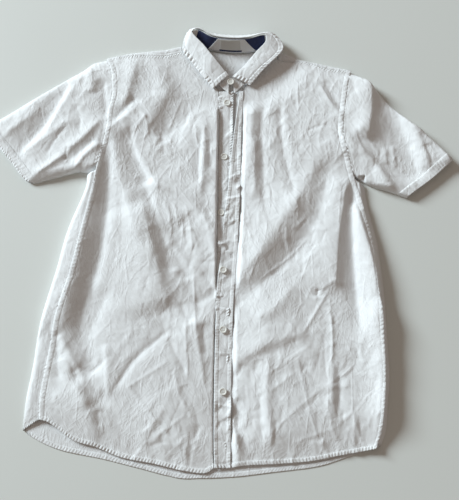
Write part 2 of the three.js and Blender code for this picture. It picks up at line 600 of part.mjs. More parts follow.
add('back', back(), 'shirting');
add('yoke', yoke(), 'shirting');
add('front_right', frontRight(), 'shirting');
add('front_left', frontLeft(), 'shirting');
add('button_band', buttonBand(), 'shirting');
add('placket', placket(), 'shirting');
add('sleeve_right', sleeve(RIGHT_SLEEVE), 'shirting');
add('sleeve_left', sleeve(LEFT_SLEEVE), 'shirting');
add('collar_stand', collarStand(), 'shirting');
add('collar_fall', collarFall(), 'shirting');
add('stand_lining', insideStand(10, 19, [0.1, 0.8], LINING_NEAR), 'lining');
add('stand_panel', insideStand(12, 16, [0.14, 0.78], PANEL_NEAR), 'shirting');
add('blank_label', insideStand(13, 15, [0.3, 0.72], LABEL_NEAR), 'label');
add('neck_tape', insideStand(13, 15, [0.16, 0.25], LABEL_NEAR), 'lining');
addButtons();

// The part's origin is under the middle of its outline, on the surface it lies on.
const bounds = new THREE.Box3().setFromObject(shirt);
const middle = bounds.getCenter(new THREE.Vector3());
shirt.position.set(-middle.x, -middle.y, -bounds.min.z);

export default shirt;
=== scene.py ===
"""A short-sleeved cotton shirt laid on its back, crumpled, with an open neck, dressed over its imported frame.

Tables are in millimetres on the cutting table: x towards the wearer's left, y towards the collar, z up. The
vertices of a mesh are in metres in the part's own frame, which SHIFT leads to. "Right" is the wearer's right.
"""

import logging
import math
from collections.abc import Callable, Sequence
from dataclasses import dataclass, field
from enum import Enum
from functools import cached_property

import bmesh
import bpy
import numpy as np
from mathutils import Matrix, Vector


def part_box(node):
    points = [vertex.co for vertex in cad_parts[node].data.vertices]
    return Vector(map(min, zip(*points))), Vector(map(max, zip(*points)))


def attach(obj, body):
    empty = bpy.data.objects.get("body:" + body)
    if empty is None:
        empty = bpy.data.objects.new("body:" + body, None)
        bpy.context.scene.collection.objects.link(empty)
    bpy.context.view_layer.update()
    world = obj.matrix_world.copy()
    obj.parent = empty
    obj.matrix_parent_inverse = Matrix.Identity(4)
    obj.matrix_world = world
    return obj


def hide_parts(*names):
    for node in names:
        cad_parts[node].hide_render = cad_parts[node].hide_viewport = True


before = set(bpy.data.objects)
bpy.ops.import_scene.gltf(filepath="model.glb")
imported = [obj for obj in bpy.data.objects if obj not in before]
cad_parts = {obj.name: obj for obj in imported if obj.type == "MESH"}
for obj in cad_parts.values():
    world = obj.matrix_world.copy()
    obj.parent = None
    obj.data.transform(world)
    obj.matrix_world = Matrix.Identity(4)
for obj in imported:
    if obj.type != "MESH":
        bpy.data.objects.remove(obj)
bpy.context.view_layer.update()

LOG = logging.getLogger("shirt")
MM = 0.001
SHIFT = np.array([20.5, -17.56, 0.0])  # from the cutting table to the part's own frame
Rows = Sequence[Sequence[float]]
Array = np.ndarray

# ---- heights of the layers ----
CLOTH = 0.45  # one layer as it shows at an edge
HIGHEST = 20.0  # above it the folds round over
ROUND_OVER = 6.0  # the most that they can still rise there
LOWEST_TOP = 3.6  # outside of a front where it lies on the back
FOLD_MIDDLE = 2.3  # outermost line of a folded side
FOLD_ROUND = 10.0  # how far in from a folded side the upper layer rounds over
FOLD_UNDER = 3.0
SWELL = 2.6  # how far a front stands off the back beside its hem
LOFT = 4.2  # how much farther it stands away from its edges
HEM_SINK = 1.4  # how much closer to the table the layers lie at the hem
BAND_TOP = 4.0
PLACKET_TOP = 5.3
TABLE_GAP = 0.02  # the least height of a lower layer over the table
FLAT_LOW = 0.1  # height of the outside of a layer that lies flat on the table

# ---- how edges are sewn ----
EDGE_WALL = 0.3  # wall of the turned-over strips along the edges
COVERED_SHARE = 0.3  # of their height that puckers keep under such a strip
NEAR_STITCH = 1.6  # in from a seam to the first row of stitches
FAR_STITCH = 6.5  # and to the second
HEM_STITCH = 7.0
HIGH_THREAD = 0.25  # how far a row of stitches lies out from cloth with a strip on it

# ---- neck: under the collar the fronts lie low ----
NECK_CENTRE = (2, 318)
NECK_REACH = (88, 62)

# ---- outlines: x, y from the hem up, or from the right side to the left ----
RIGHT_SIDE_FOLD = [(-317, -284), (-315, -241), (-307, -189), (-299, -118), (-278, -35), (-262, 33),
                   (-236, 105), (-235, 126)]
RIGHT_SIDE_SEAM = [(-291, -267), (-290, -229), (-282, -175), (-272, -107), (-253, -41), (-237, 33),
                   (-223, 100), (-217, 136)]
RIGHT_ARMHOLE = [(-217, 136), (-213, 160), (-208, 184), (-203, 210), (-202, 237), (-196, 262),
                 (-199, 308), (-208, 331)]
LEFT_SIDE_FOLD = [(231, -306), (239, -287), (245, -241), (249, -201), (249, -178), (248, -129),
                  (247, -82), (243, -25), (238, 17), (227, 67), (220, 119)]
LEFT_SIDE_SEAM = [(223, -309), (231, -287), (237, -241), (241, -201), (241, -178), (240, -129),
                  (239, -82), (235, -25), (230, 17), (218, 67), (203, 122)]
LEFT_ARMHOLE = [(203, 122), (198, 144), (188, 188), (188, 214), (193, 250), (200, 292), (205, 308)]
BAND_EDGE = [(-24, -339), (-25, -298), (-25, -238), (-24, -161), (-22, -82), (-20, 17), (-19, 153),
             (-18, 224), (-19, 274)]
PLACKET_RIGHT_EDGE = [(-23, -339), (-24, -298), (-24, -238), (-23, -161), (-21, -82), (-19, -50),
                      (-13, 0), (-7.6, 62), (-4, 90), (1, 140), (7, 196), (15, 255), (16, 274)]
PLACKET_LEFT_EDGE = [(2, -339), (2, -298), (3, -238), (4, -161), (7, -82), (12, -17), (17, 84),
                     (19, 153), (21, 224), (24, 274)]
FRONT_RIGHT_HEM = [(-291, -267), (-276, -272), (-238, -298), (-204, -308), (-166, -323), (-113, -333),
                   (-74, -342), (-35, -346), (-24, -339)]
FRONT_LEFT_HEM = [(2, -339), (17, -336), (71, -333), (123, -329), (166, -321), (218, -311), (223, -309)]
BACK_HEM = [(-317, -284), (-304, -293), (-264, -311), (-193, -326), (-139, -339), (-74, -354),
            (-45, -354), (7, -352), (60, -346), (138, -336), (186, -321), (231, -306)]
RIGHT_SHOULDER_SEAM = [(-208, 331), (-186, 336), (-162, 338), (-136, 338), (-110, 338), (-83, 345)]
LEFT_SHOULDER_SEAM = [(88, 330), (129, 325), (151, 318), (171, 311), (205, 308)]
SHOULDER_FOLD = [(-208, 334), (-172, 343), (-133, 348), (-102, 352), (-82, 357), (90, 345), (121, 332),
                 (150, 325), (171, 320), (191, 315), (205, 311)]
NECK_BACK = [(-82, 352), (-63, 352), (-35, 349), (1, 345), (35, 346), (63, 350), (90, 341)]
RIGHT_NECK = [(-83, 345), (-72, 344), (-54, 324), (-36, 303), (-26, 286), (-19, 274)]
LEFT_NECK = [(24, 274), (30, 286), (42, 303), (60, 322), (74, 336), (88, 330)]
YOKE_SEAM_Y = 275.0


class Profile(Enum):
    """How the cloth stands along a fold."""

    SOFT = "a rounded ridge, or a trough where its height is negative"
    CREASE = "a sharp pressed line"


@dataclass(frozen=True)
class Fold:
    """One fold of an upper layer: a line through three points, its two half widths and its height."""

    line: tuple[float, float, float, float, float, float]
    right: float  # half width on the right hand of the line's run
    left: float
    height: float
    profile: Profile = Profile.SOFT


S, C = Profile.SOFT, Profile.CREASE
# x0, y0, x1, y1, x2, y2, half width to the right, to the left, height, profile
FOLD_ROWS = [
    # right side
    (-219, 150, -236, 30, -262, -110, 22, 17, 7.2, S), (-200, 165, -205, 20, -233, -110, 15, 9, -5.6, S),
    (-183, 160, -176, 40, -192, -60, 12, 22, -2.4, S),
    (-201, -80, -226, -140, -214, -190, 16, 12, -5, S), (-195, 190, -176, 110, -150, 30, 9, 14, 3.5, S),
    (-140, 60, -121, -10, -104, -80, 40, 10, 6, S), (-176, 212, -140, 140, -118, 107, 5, 6, 3.5, S),
    (-118, 107, -73, 87, -22, 26, 8, 8, 4, S), (-166, 195, -152, 150, -135, 118, 14, 5, -5, S),
    (-140, 105, -112, 40, -98, -30, 9, 8, -4, S), (-121, 82, -104, 23, -60, -28, 6, 6, 2.5, S),
    (-85, 30, -62, -40, -48, -100, 26, 14, -4, S), (-92, 2, -78, -25, -68, -45, 8, 6, -3, S),
    # right chest
    (-42, 290, -66, 240, -105, 195, 26, 14, -5, S), (-88, 300, -118, 250, -136, 212, 22, 10, 3.5, S),
    (-160, 322, -168, 280, -176, 245, 12, 7, 3.5, S), (-160, 258, -174, 242, -188, 224, 7, 6, -4, S),
    (-160, 238, -180, 220, -201, 203, 6, 5, 3, S), (-170, 259, -155, 243, -141, 226, 3, 3, 1.2, C),
    (-141, 226, -137, 212, -135, 199, 3, 3, 1.2, C), (-141, 226, -150, 214, -158, 201, 3, 3, 1.2, C),
    (-135, 199, -139, 192, -143, 187, 3, 3, 1.2, C), (-83, 252, -92, 230, -100, 207, 2.5, 2.5, 1, C),
    (-113, 195, -110, 180, -107, 163, 4, 3, -2, S),
    # beside the bands
    (-22, 275, -21, 190, -24, 90, 9, 5, 2, S), (-24, 90, -22, 20, -22, -50, 8, 5, 2.4, S),
    (-33, 180, -31, 160, -30, 140, 4, 4, -2, S), (-42, 205, -43, 150, -47, 100, 7, 5, 3.5, S),
    (-47, 195, -51, 150, -51, 118, 6, 4, -3, S), (-40, 50, -30, 20, -24, -10, 8, 5, 2.5, S),
    (-42, -22, -36, -16, -29, -10, 2, 2, -1.2, C), (-41, -42, -31, -55, -25, -74, 4, 4, -2, S),
    (-54, -88, -38, -80, -24, -70, 5, 5, -2.5, S), (-75, -90, -70, -104, -62, -116, 4, 4, -2, S),
    (-57, -50, -55, -90, -53, -122, 2.5, 2.5, 1.6, C), (-53, -122, -48, -160, -40, -204, 5, 4, 2.5, S),
    (-42, -125, -40, -145, -36, -165, 5, 5, -2, S), (-99, -80, -83, -62, -75, -42, 2.5, 2.5, 1, C),
    (-101, 70, -97, 50, -94, 30, 2.5, 2.5, 1, C), (-90, 75, -86, 58, -83, 38, 2.5, 2.5, 1, C),
    (-80, 62, -76, 40, -74, 20, 2.5, 2.5, 1, C), (-70, 66, -64, 40, -60, 5, 2.5, 2.5, 1.1, C),
    (-82, 30, -72, 31, -62, 32, 2.5, 2.5, 1, C), (-62, 32, -56, 20, -52, 6, 2.5, 2.5, 1, C),
    # right hip
    (-264, -143, -250, -165, -229, -199, 6, 5, 4, S), (-270, -140, -268, -170, -264, -200, 5, 6, -3, S),
    (-256, -176, -244, -205, -222, -240, 10, 7, 3, S), (-241, -195, -222, -222, -190, -240, 7, 8, -3, S),
    (-200, -243, -172, -275, -143, -306, 7, 7, -2, S), (-192, -160, -189, -190, -187, -222, 6, 8, 2.5, S),
    (-232, -187, -217, -196, -198, -180, 3, 3, -1.5, C), (-105, -138, -147, -176, -174, -215, 4, 4, -3, S),
    (-155, -217, -128, -200, -100, -182, 2, 2, 1, C), (-155, -218, -116, -264, -77, -308, 2, 2, 1.6, C),
    (-110, -290, -92, -278, -72, -263, 3, 3, 1, C), (-122, -307, -111, -303, -100, -301, 3, 3, -1.5, S),
    (-69, -125, -67, -165, -65, -200, 2.5, 2.5, 1.2, C), (-93, -148, -81, -173, -70, -192, 3, 3, -1.8, S),
    (-84, -202, -77, -230, -61, -258, 3, 3, 1.2, C), (-46, -277, -49, -286, -53, -295, 3, 3, -1.6, S),
    (-201, -255, -201, -265, -199, -275, 3, 3, -1.5, S), (-228, -215, -214, -255, -206, -300, 22, 9, 3, S),
    # left chest
    (44, 295, 38, 225, 30, 130, 9, 9, 3.4, S), (42, 180, 41, 140, 42, 95, 8, 6, 3, S),
    (58, 275, 54, 190, 57, 85, 8, 7, -4, S), (85, 232, 90, 165, 103, 105, 6, 5, -3, S),
    (89, 219, 95, 211, 100, 204, 4, 4, 2, S), (115, 280, 115, 260, 116, 240, 2.5, 2.5, 1.2, C),
    (156, 275, 170, 250, 185, 224, 4, 4, 3, S), (163, 283, 176, 258, 186, 240, 5, 5, -2.5, S),
    (130, 201, 146, 207, 161, 211, 2.5, 2.5, -1.2, C), (161, 211, 171, 204, 180, 195, 2.5, 2.5, -1.2, C),
    (180, 190, 144, 140, 108, 80, 18, 15, 3.4, S), (108, 80, 70, 23, 22, -42, 18, 18, 6.2, S),
    (162, 130, 128, 22, 14, -86, 20, 12, -4.2, S), (122, 13, 100, -10, 61, -40, 2, 2, 1.2, C),
    # left side
    (190, 100, 176, 30, 168, -50, 30, 6, 6, S), (200, 90, 197, 0, 204, -110, 12, 7, -6, S),
    (206, 60, 226, -20, 238, -110, 14, 7, 8, S), (238, -110, 238, -210, 229, -315, 16, 8, 12, S),
    (168, -52, 151, -62, 137, -80, 4, 3, 2, S), (155, -71, 138, -99, 120, -128, 2.5, 2.5, 1.5, C),
    (141, -66, 140, -71, 139, -77, 3, 3, -4, S), (168, -52, 176, -66, 183, -80, 3, 3, 1.2, C),
    (157, -98, 159, -108, 160, -118, 3, 3, 1.5, C),
    # left waist and hip
    (98, -65, 78, -90, 48, -110, 10, 10, 3, S), (110, -135, 62, -150, 14, -178, 22, 9, 4, S),
    (46, -178, 43, -186, 41, -194, 4, 4, -2, S), (20, -185, 16, -194, 12, -202, 4, 4, -2, S),
    (60, -183, 58, -240, 66, -310, 7, 6, 3.5, S), (47, -235, 48, -265, 50, -293, 4, 3, -2, S),
    (71, -272, 69, -290, 66, -310, 3, 3, -2, S), (108, -183, 118, -235, 132, -287, 2, 2, 1, C),
    (160, -115, 161, -150, 158, -181, 2.5, 2.5, 1.8, C), (160, -190, 158, -225, 161, -262, 7, 5, 3, S),
    (170, -190, 170, -225, 165, -258, 5, 5, -3, S), (150, -238, 154, -268, 162, -292, 4, 4, 2, S),
    (140, -300, 144, -310, 150, -322, 4, 3, 2.5, S), (128, -300, 130, -312, 131, -324, 3.5, 3.5, 2, S),
    (70, -280, 110, -245, 180, -195, 3, 3, 0.8, C), (102, -300, 128, -291, 155, -282, 3, 3, 0.8, C),
    (60, -198, 90, -178, 120, -158, 3, 3, 0.8, C), (66, -222, 82, -210, 98, -198, 3, 3, 0.8, C),
    (10, -240, 12, -262, 12, -284, 4, 6, -4, S), (8, -285, 12, -305, 14, -330, 5, 5, 4, S),
    (16, -285, 25, -306, 36, -325, 5, 5, -3, S), (5, -196, 6, -207, 6, -218, 4, 4, -2.5, S),
    # right sleeve
    (-275, 283, -300, 225, -345, 168, 16, 8, -5, S), (-322, 236, -348, 215, -378, 190, 7, 6, 3, S),
    (-265, 275, -285, 240, -300, 205, 8, 5, 3.5, S), (-268, 215, -300, 193, -335, 168, 9, 7, 3.5, S),
    (-270, 211, -286, 190, -300, 165, 3, 3, -1.8, S), (-258, 244, -249, 227, -249, 205, 4, 3, -2, S),
    (-236, 310, -234, 290, -232, 272, 8, 6, 3, S), (-212, 285, -208, 255, -206, 230, 8, 3, -3, S),
    (-222, 212, -250, 180, -268, 165, 8, 5, 5, S), (-272, 158, -297, 140, -325, 120, 7, 4, 5, S),
    (-268, 168, -270, 158, -270, 150, 3, 3, -2, C), (-218, 175, -238, 157, -258, 128, 6, 5, 5, S),
    (-228, 182, -245, 165, -262, 150, 5, 5, -2, S),
    # left sleeve
    (236, 290, 236, 250, 229, 198, 24, 11, 9.5, S), (262, 285, 290, 195, 308, 131, 26, 9, -6.5, S),
    (285, 240, 312, 190, 326, 145, 12, 8, 5, S), (258, 168, 258, 155, 259, 145, 4, 3, 2, S),
    (271, 172, 272, 155, 274, 142, 4, 3, 2.2, S), (212, 208, 228, 188, 243, 168, 3, 3, 1.5, C),
    (208, 200, 215, 180, 222, 163, 3, 3, 1.2, C), (198, 182, 234, 148, 262, 106, 14, 8, 6, S),
    (228, 135, 236, 122, 240, 110, 4, 4, -1.2, S), (207, 290, 209, 280, 210, 268, 3, 3, -1.5, S),
    (325, 172, 330, 158, 333, 145, 4, 4, -2, S),
    (322, 215, 345, 185, 362, 152, 12, 7, 6, S), (240, 284, 282, 244, 318, 206, 12, 6, 3, S),
]
FOLD_SCALE = 1.3


# ---- lines and patches ----
class Line:
    """A smooth line through a few points, read by its share of the length."""

    def __init__(self, rows: Rows, fineness: int = 24) -> None:
        """Draws the line.

        Args:
            rows: the points, each with x, y and perhaps z.
            fineness: steps between two points.
        """
        given = np.array([(*row, 0.0)[:3] for row in rows], float)
        ends = np.vstack([2 * given[0] - given[1], given, 2 * given[-1] - given[-2]])
        share = np.linspace(0, 1, fineness, endpoint=False)[:, None]
        parts = [self._between(ends[i : i + 4], share) for i in range(len(given) - 1)]
        self.points = np.vstack([*parts, given[-1:]])
        run = np.linalg.norm(np.diff(self.points, axis=0), axis=1).cumsum()
        self.length = float(run[-1])
        self.share = np.concatenate([[0.0], run / self.length])

    @staticmethod
    def _between(four: Array, share: Array) -> Array:
        """The line between the middle two of four points, at shares of the way.

        Args:
            four: the points.
            share: shares of the way, as a column.

        Returns:
            a point for each share.
        """
        p0, p1, p2, p3 = four
        a, b, c = (max(1e-3, float(np.linalg.norm(q - p))) ** 0.5 for p, q in ((p0, p1), (p1, p2), (p2, p3)))
        start = ((p1 - p0) / a - (p2 - p0) / (a + b) + (p2 - p1) / b) * b
        end = ((p2 - p1) / b - (p3 - p1) / (b + c) + (p3 - p2) / c) * b
        cubic = 2 * p1 - 2 * p2 + start + end
        square = -3 * p1 + 3 * p2 - 2 * start - end
        return ((cubic * share + square) * share + start) * share + p1

    def at(self, share: Array | float) -> Array:
        """Points at shares of the length."""
        return np.stack([np.interp(share, self.share, self.points[:, k]) for k in range(3)], axis=-1)

    def x_at(self, y: Array | float) -> Array:
        """x where the line has a y, for a line that runs along y."""
        order = np.argsort(self.points[:, 1])
        return np.interp(y, self.points[order, 1], self.points[order, 0])

    def y_at(self, x: Array | float) -> Array:
        """y where the line has an x, for a line that runs along x."""
        order = np.argsort(self.points[:, 0])
        return np.interp(x, self.points[order, 0], self.points[order, 1])


def smooth(value: Array | float) -> Array:
    """0 up to 0, 1 from 1, and an even S between."""
    t = np.clip(value, 0, 1)
    return t * t * (3 - 2 * t)


def shares(steps: int) -> Array:
    """Even shares from 0 to 1."""
    return np.linspace(0, 1, steps + 1)


@dataclass
class Patch:
    """A piece's outline on the table, filled from its four sides. u runs along the hem and v up the sides."""

    south: Line
    north: Line
    west: Line
    east: Line

    def fill(self, u: Array, v: Array) -> Array:
        """Fills the outline with a grid.

        Args:
            u: shares along the hem, one for each column.
            v: shares up the sides, one for each row.

        Returns:
            x and y of every row and column.
        """
        s, n, w, e = (line.at(t)[:, :2] for line, t in
                      ((self.south, u), (self.north, u), (self.west, v), (self.east, v)))
        v3, u3 = v[:, None, None], u[None, :, None]
        ruled = s[None] * (1 - v3) + n[None] * v3 + w[:, None] * (1 - u3) + e[:, None] * u3
        low = s[0] * (1 - u3) + s[-1] * u3
        high = n[0] * (1 - u3) + n[-1] * u3
        return ruled - (low * (1 - v3) + high * v3)


# ---- relief of the upper layers ----
def hashed(ix: Array, iy: Array, seed: int) -> tuple[Array, Array]:
    """Two even random numbers for each cell of a lattice.

    Args:
        ix: the cells' columns.
        iy: their rows.
        seed: picks the numbers.

    Returns:
        two arrays of numbers from 0 to 1.
    """
    n = (ix.astype(np.int64) * 374761393 + iy.astype(np.int64) * 668265263 + seed * 974634777) & 0x7FFFFFFF
    n = ((n ^ (n >> 13)) * 1274126177) & 0x7FFFFFFF
    n = (n ^ (n >> 16)) & 0x7FFFFFFF
    return (n & 0x7FFF) / 0x7FFF, ((n >> 15) & 0xFFFF) / 0xFFFF


def drift(x: Array, y: Array, size: float, seed: int) -> Array:
    """Smooth noise from -1 to 1, with waves about size long.

    Args:
        x: places along the hem.
        y: places up the body.
        size: the waves' length, in millimetres.
        seed: picks the waves.

    Returns:
        the noise at each place.
    """
    gx, gy = x / size, y / size
    ix, iy = np.floor(gx), np.floor(gy)
    tx, ty = smooth(gx - ix), smooth(gy - iy)
    corner = [[hashed(ix + dx, iy + dy, seed)[0] for dx in (0, 1)] for dy in (0, 1)]
    low = corner[0][0] * (1 - tx) + corner[0][1] * tx
    high = corner[1][0] * (1 - tx) + corner[1][1] * tx
    return 2 * (low * (1 - ty) + high * ty) - 1


@dataclass(frozen=True)
class Crumple:
    """Short uneven creases all over the cloth, drawn once on a grid of heights with a pitch of 1 mm."""

    seed: int
    lean: float = 82.0  # degrees from +x that most creases run
    spread: float = 26.0
    steep: float = 1.0  # scales all the creases
    sizes: tuple[tuple[int, float, float, float], ...] = (  # count, length, width, steepness
        (260, 95, 6.0, 0.15), (1000, 66, 2.8, 0.30), (4200, 27, 1.9, 0.36))
    stray: float = 0.33  # share of the creases that run any other way
    box: tuple[int, int, int, int] = (-440, -400, 880, 800)  # x and y of its corner, width, height

    @cached_property
    def grid(self) -> Array:
        """The heights, rows from the hem up.

        Returns:
            a height for each millimetre.
        """
        rng = np.random.default_rng(self.seed)
        wide, high = self.box[2:]
        grid = np.zeros((high, wide))
        for count, length, width, steep in self.sizes:
            for _ in range(count):
                self._draw(grid, rng, length, width, steep * self.steep)
        return grid

    def _draw(self, grid: Array, rng: np.random.Generator, length: float, width: float, steep: float) -> None:
        """Adds one crease, sharp along its middle, with one flank steeper than the other.

        Args:
            grid: the heights so far.
            rng: the source of random numbers.
            length: a usual crease's length, in millimetres.
            width: its half width.
            steep: its height, as a share of its width.
        """
        cx, cy = rng.random() * grid.shape[1], rng.random() * grid.shape[0]
        stray = rng.random() < self.stray
        turn = math.radians(rng.random() * 180 if stray else self.lean + self.spread * rng.normal())
        long = length * (0.5 + rng.random())
        narrow = width * (0.6 + 0.8 * rng.random())
        flank = narrow * (1.3 + 1.9 * rng.random())
        rise = steep * narrow * (0.35 + 1.5 * rng.random() ** 2) * (1 if rng.random() < 0.6 else -1)
        bend = 0.12 * long * rng.normal()
        side = 1 if rng.random() < 0.5 else -1
        reach = 0.5 * long + 3 * flank
        xs = np.arange(max(0, int(cx - reach)), min(grid.shape[1], int(cx + reach) + 1))
        ys = np.arange(max(0, int(cy - reach)), min(grid.shape[0], int(cy + reach) + 1))
        if not len(xs) or not len(ys):
            return
        dx, dy = xs[None] - cx, ys[:, None] - cy
        along = (dx * math.cos(turn) + dy * math.sin(turn)) * 2 / long
        across = side * (dy * math.cos(turn) - dx * math.sin(turn)) - bend * along**2
        shape = np.exp(-np.abs(across) / np.where(across > 0, flank, narrow))
        grid[ys[0] : ys[-1] + 1, xs[0] : xs[-1] + 1] += rise * shape * np.clip(1 - along**2, 0, 1)

    def rise(self, x: Array, y: Array) -> Array:
        """Height of the small creases at x, y.

        Args:
            x: places along the hem.
            y: places up the body.

        Returns:
            the heights.
        """
        gx = np.clip(x - self.box[0], 0, self.box[2] - 2)
        gy = np.clip(y - self.box[1], 0, self.box[3] - 2)
        ix, iy = np.floor(gx).astype(int), np.floor(gy).astype(int)
        tx, ty = gx - ix, gy - iy
        low = self.grid[iy, ix] * (1 - tx) + self.grid[iy, ix + 1] * tx
        high = self.grid[iy + 1, ix] * (1 - tx) + self.grid[iy + 1, ix + 1] * tx
        calm = 0.62 + 0.5 * drift(x, y, 95, self.seed + 3)
        return (low * (1 - ty) + high * ty) * calm


class Relief:
    """The height of the outside of the upper layers, from the folds."""

    def __init__(self, rows: list[tuple], scale: float) -> None:
        """Reads the fold rows.

        Args:
            rows: the fold rows.
            scale: how high the soft folds stand, as a share of their heights.
        """
        self.folds = [Fold(tuple(r[:6]), *r[6:]) for r in rows]
        self.lines = [self._longer(f) for f in self.folds]
        self.scale = scale
        self.left_fold = Line(LEFT_SIDE_FOLD)
        self.hem = Line(BACK_HEM)

    @staticmethod
    def _longer(fold: Fold) -> Array:
        """Points along a fold, run on past both ends where it dies away.

        Args:
            fold: the fold.

        Returns:
            the points of its line.
        """
        rows = np.array(fold.line).reshape(3, 2)
        more = 0.35
        rows = np.vstack([rows[0] + more * (rows[0] - rows[1]), rows, rows[2] + more * (rows[2] - rows[1])])
        return Line(rows, 4).points

    @staticmethod
    def _beside(points: Array, x: Array, y: Array) -> tuple[Array, Array]:
        """Signed distance from a line, positive on its left hand, and the share of the way along it.

        Args:
            points: the line's points.
            x: places along the hem.
            y: places up the body.

        Returns:
            both values at each place.
        """
        best, signed, along = np.full(x.shape, 1e9), np.zeros(x.shape), np.zeros(x.shape)
        count = len(points) - 1
        for i in range(count):
            a, b = points[i, :2], points[i + 1, :2]
            run = b - a
            t = np.clip(((x - a[0]) * run[0] + (y - a[1]) * run[1]) / (run @ run), 0, 1)
            dx, dy = x - a[0] - t * run[0], y - a[1] - t * run[1]
            d = np.hypot(dx, dy)
            near = d < best
            best = np.where(near, d, best)
            signed = np.where(near, np.sign(run[0] * dy - run[1] * dx) * d, signed)
            along = np.where(near, (i + t) / count, along)
        return signed, along

    def rise(self, x: Array, y: Array) -> Array:
        """Height of all the folds together at x, y.

        Args:
            x: places along the hem.
            y: places up the body.

        Returns:
            the heights.
        """
        total = np.full(x.shape, 0.0)
        for f, points in zip(self.folds, self.lines):
            reach = 4.5 * max(f.left, f.right)
            low, high = points.min(axis=0) - reach, points.max(axis=0) + reach
            near = (x > low[0]) & (x < high[0]) & (y > low[1]) & (y < high[1])
            if not near.any():
                continue
            d, along = self._beside(points, x[near], y[near])
            width = np.where(d > 0, f.left, f.right)
            round_top = width * (0.12 if f.profile is Profile.CREASE else 0.6)
            shape = np.exp(-(np.sqrt(d * d + round_top**2) - round_top) / width)
            ends = smooth(np.minimum(along, 1 - along) / 0.34)
            broad = float(smooth((max(f.left, f.right) - 5) / 9))
            share = 1.0 if f.profile is Profile.CREASE else 0.85 + (self.scale - 0.85) * broad
            total[near] += share * f.height * shape * ends
        return total

    def top(self, x: Array, y: Array, small: Array | None = None) -> Array:
        """The height of the outside of the upper layer.

        Args:
            x: places along the hem.
            y: places up the body.
            small: heights of the small creases, where they aren't the body's own.

        Returns:
            the height of the outside of the upper layer.
        """
        loft = smooth((y - self.hem.y_at(x)) / 80) * smooth((352 - y) / 60)  # none at hem and shoulders
        loft = loft * (0.3 + 0.7 * smooth((np.abs(x + 4) - 14) / 50))  # and less beside the bands
        sunk = self.sunk(x, y)
        slow = 1.6 * drift(x, y, 105, 5) + 0.9 * drift(x, y, 48, 9)
        small = BODY_CRUMPLE.rise(x, y) if small is None else small
        rise = SWELL * (1 - 0.7 * sunk) + loft * (LOFT + slow) + self.rise(x, y) * (1 - 0.45 * sunk) + small
        under = np.hypot((x - NECK_CENTRE[0]) / NECK_REACH[0], (y - NECK_CENTRE[1]) / NECK_REACH[1])
        rise = rise * smooth((under - 1) / 0.5)
        beside = self.left_fold.x_at(y) - x  # low again at the left side, but not on the sleeve beyond it
        side = np.maximum(smooth(beside / FOLD_ROUND), smooth((-beside - 0.5) / 3))
        rise = np.where(y < LEFT_ARMHOLE[0][1], rise * side, rise)
        high = LOWEST_TOP - HEM_SINK * sunk + 0.5 * (rise + np.sqrt(rise * rise + 0.8))
        return np.where(high > HIGHEST, HIGHEST + ROUND_OVER * np.tanh((high - HIGHEST) / ROUND_OVER), high)

    def sunk(self, x: Array, y: Array) -> Array:
        """How far the layers settle at x, y, from 1 at the hem to 0 farther up.

        Args:
            x: places along the hem.
            y: places up the body.

        Returns:
            the share at each place.
        """
        return 1 - smooth((y - self.hem.y_at(x) - 6) / 55)


BODY_CRUMPLE = Crumple(seed=11)
RELIEF = Relief(FOLD_ROWS, FOLD_SCALE)


def rounding(distance: Array, reach: Array | float) -> Array:
    """Share of its full height that a layer has at a distance from the fold it turns over."""
    return np.sqrt(1 - (1 - np.clip(distance / reach, 0, 1)) ** 2)


# ---- seams ----
class Edge(Enum):
    """How an edge of a piece is finished."""

    PLAIN = "hidden, or a fold"
    SEAM = "sewn to its neighbour, with light puckers"
    FELLED = "a flat seam with two rows of stitches and strong puckers"
    HEM = "turned up and stitched, with slanting puckers"
    CUFF = "a broad turned-up hem, with puckers right across it"
    TOPSTITCHED = "turned and stitched round, with fine puckers"
    COLLAR = "turned and stitched round, with deep puckers"


PUCKER = {  # pitch, reach, height, slant and squareness of the puckers at each kind of edge
    Edge.PLAIN: (9.0, 4.0, 0.0, 0.0, 2),
    Edge.SEAM: (7.0, 6.5, 0.6, 0.0, 3),
    Edge.FELLED: (6.5, 6.2, 0.8, 0.3, 3),
    Edge.HEM: (4.9, 6.6, 1.15, 0.5, 4),
    Edge.CUFF: (5.8, 15.0, 0.95, 0.1, 8),
    Edge.TOPSTITCHED: (4.7, 5.8, 0.95, 0.15, 4),
    Edge.COLLAR: (7.0, 8.2, 1.9, 0.1, 4),
}


@dataclass
class Seams:
    """The finished edges of a grid of cloth, south, north, west and east."""

    south: Edge = Edge.PLAIN
    north: Edge = Edge.PLAIN
    west: Edge = Edge.PLAIN
    east: Edge = Edge.PLAIN
    lean: float = 1.0  # turns the slant of the puckers, or turns it over
    stripped: tuple[Edge, ...] = ()  # the kinds that a finer strip covers

    def beside(self, points: Array) -> list[tuple[Edge, Array, Array]]:
        """How every point of a grid lies to its finished edges.

        Args:
            points: a grid of points, rows from south to north and columns from west to east.

        Returns:
            for each finished edge its kind, the run along it and the distance in from it, at every point.
        """
        zero = np.zeros(points.shape[:2])
        across = zero.copy()
        across[:, 1:] = np.linalg.norm(np.diff(points, axis=1), axis=2).cumsum(axis=1)
        up = zero.copy()
        up[1:] = np.linalg.norm(np.diff(points, axis=0), axis=2).cumsum(axis=0)
        sides = [
            (self.south, np.broadcast_to(across[:1], zero.shape), up),
            (self.north, np.broadcast_to(across[-1:], zero.shape), up[-1:] - up),
            (self.west, np.broadcast_to(up[:, :1], zero.shape), across),
            (self.east, np.broadcast_to(up[:, -1:], zero.shape), across[:, -1:] - across),
        ]
        return [side for side in sides if side[0] is not Edge.PLAIN]


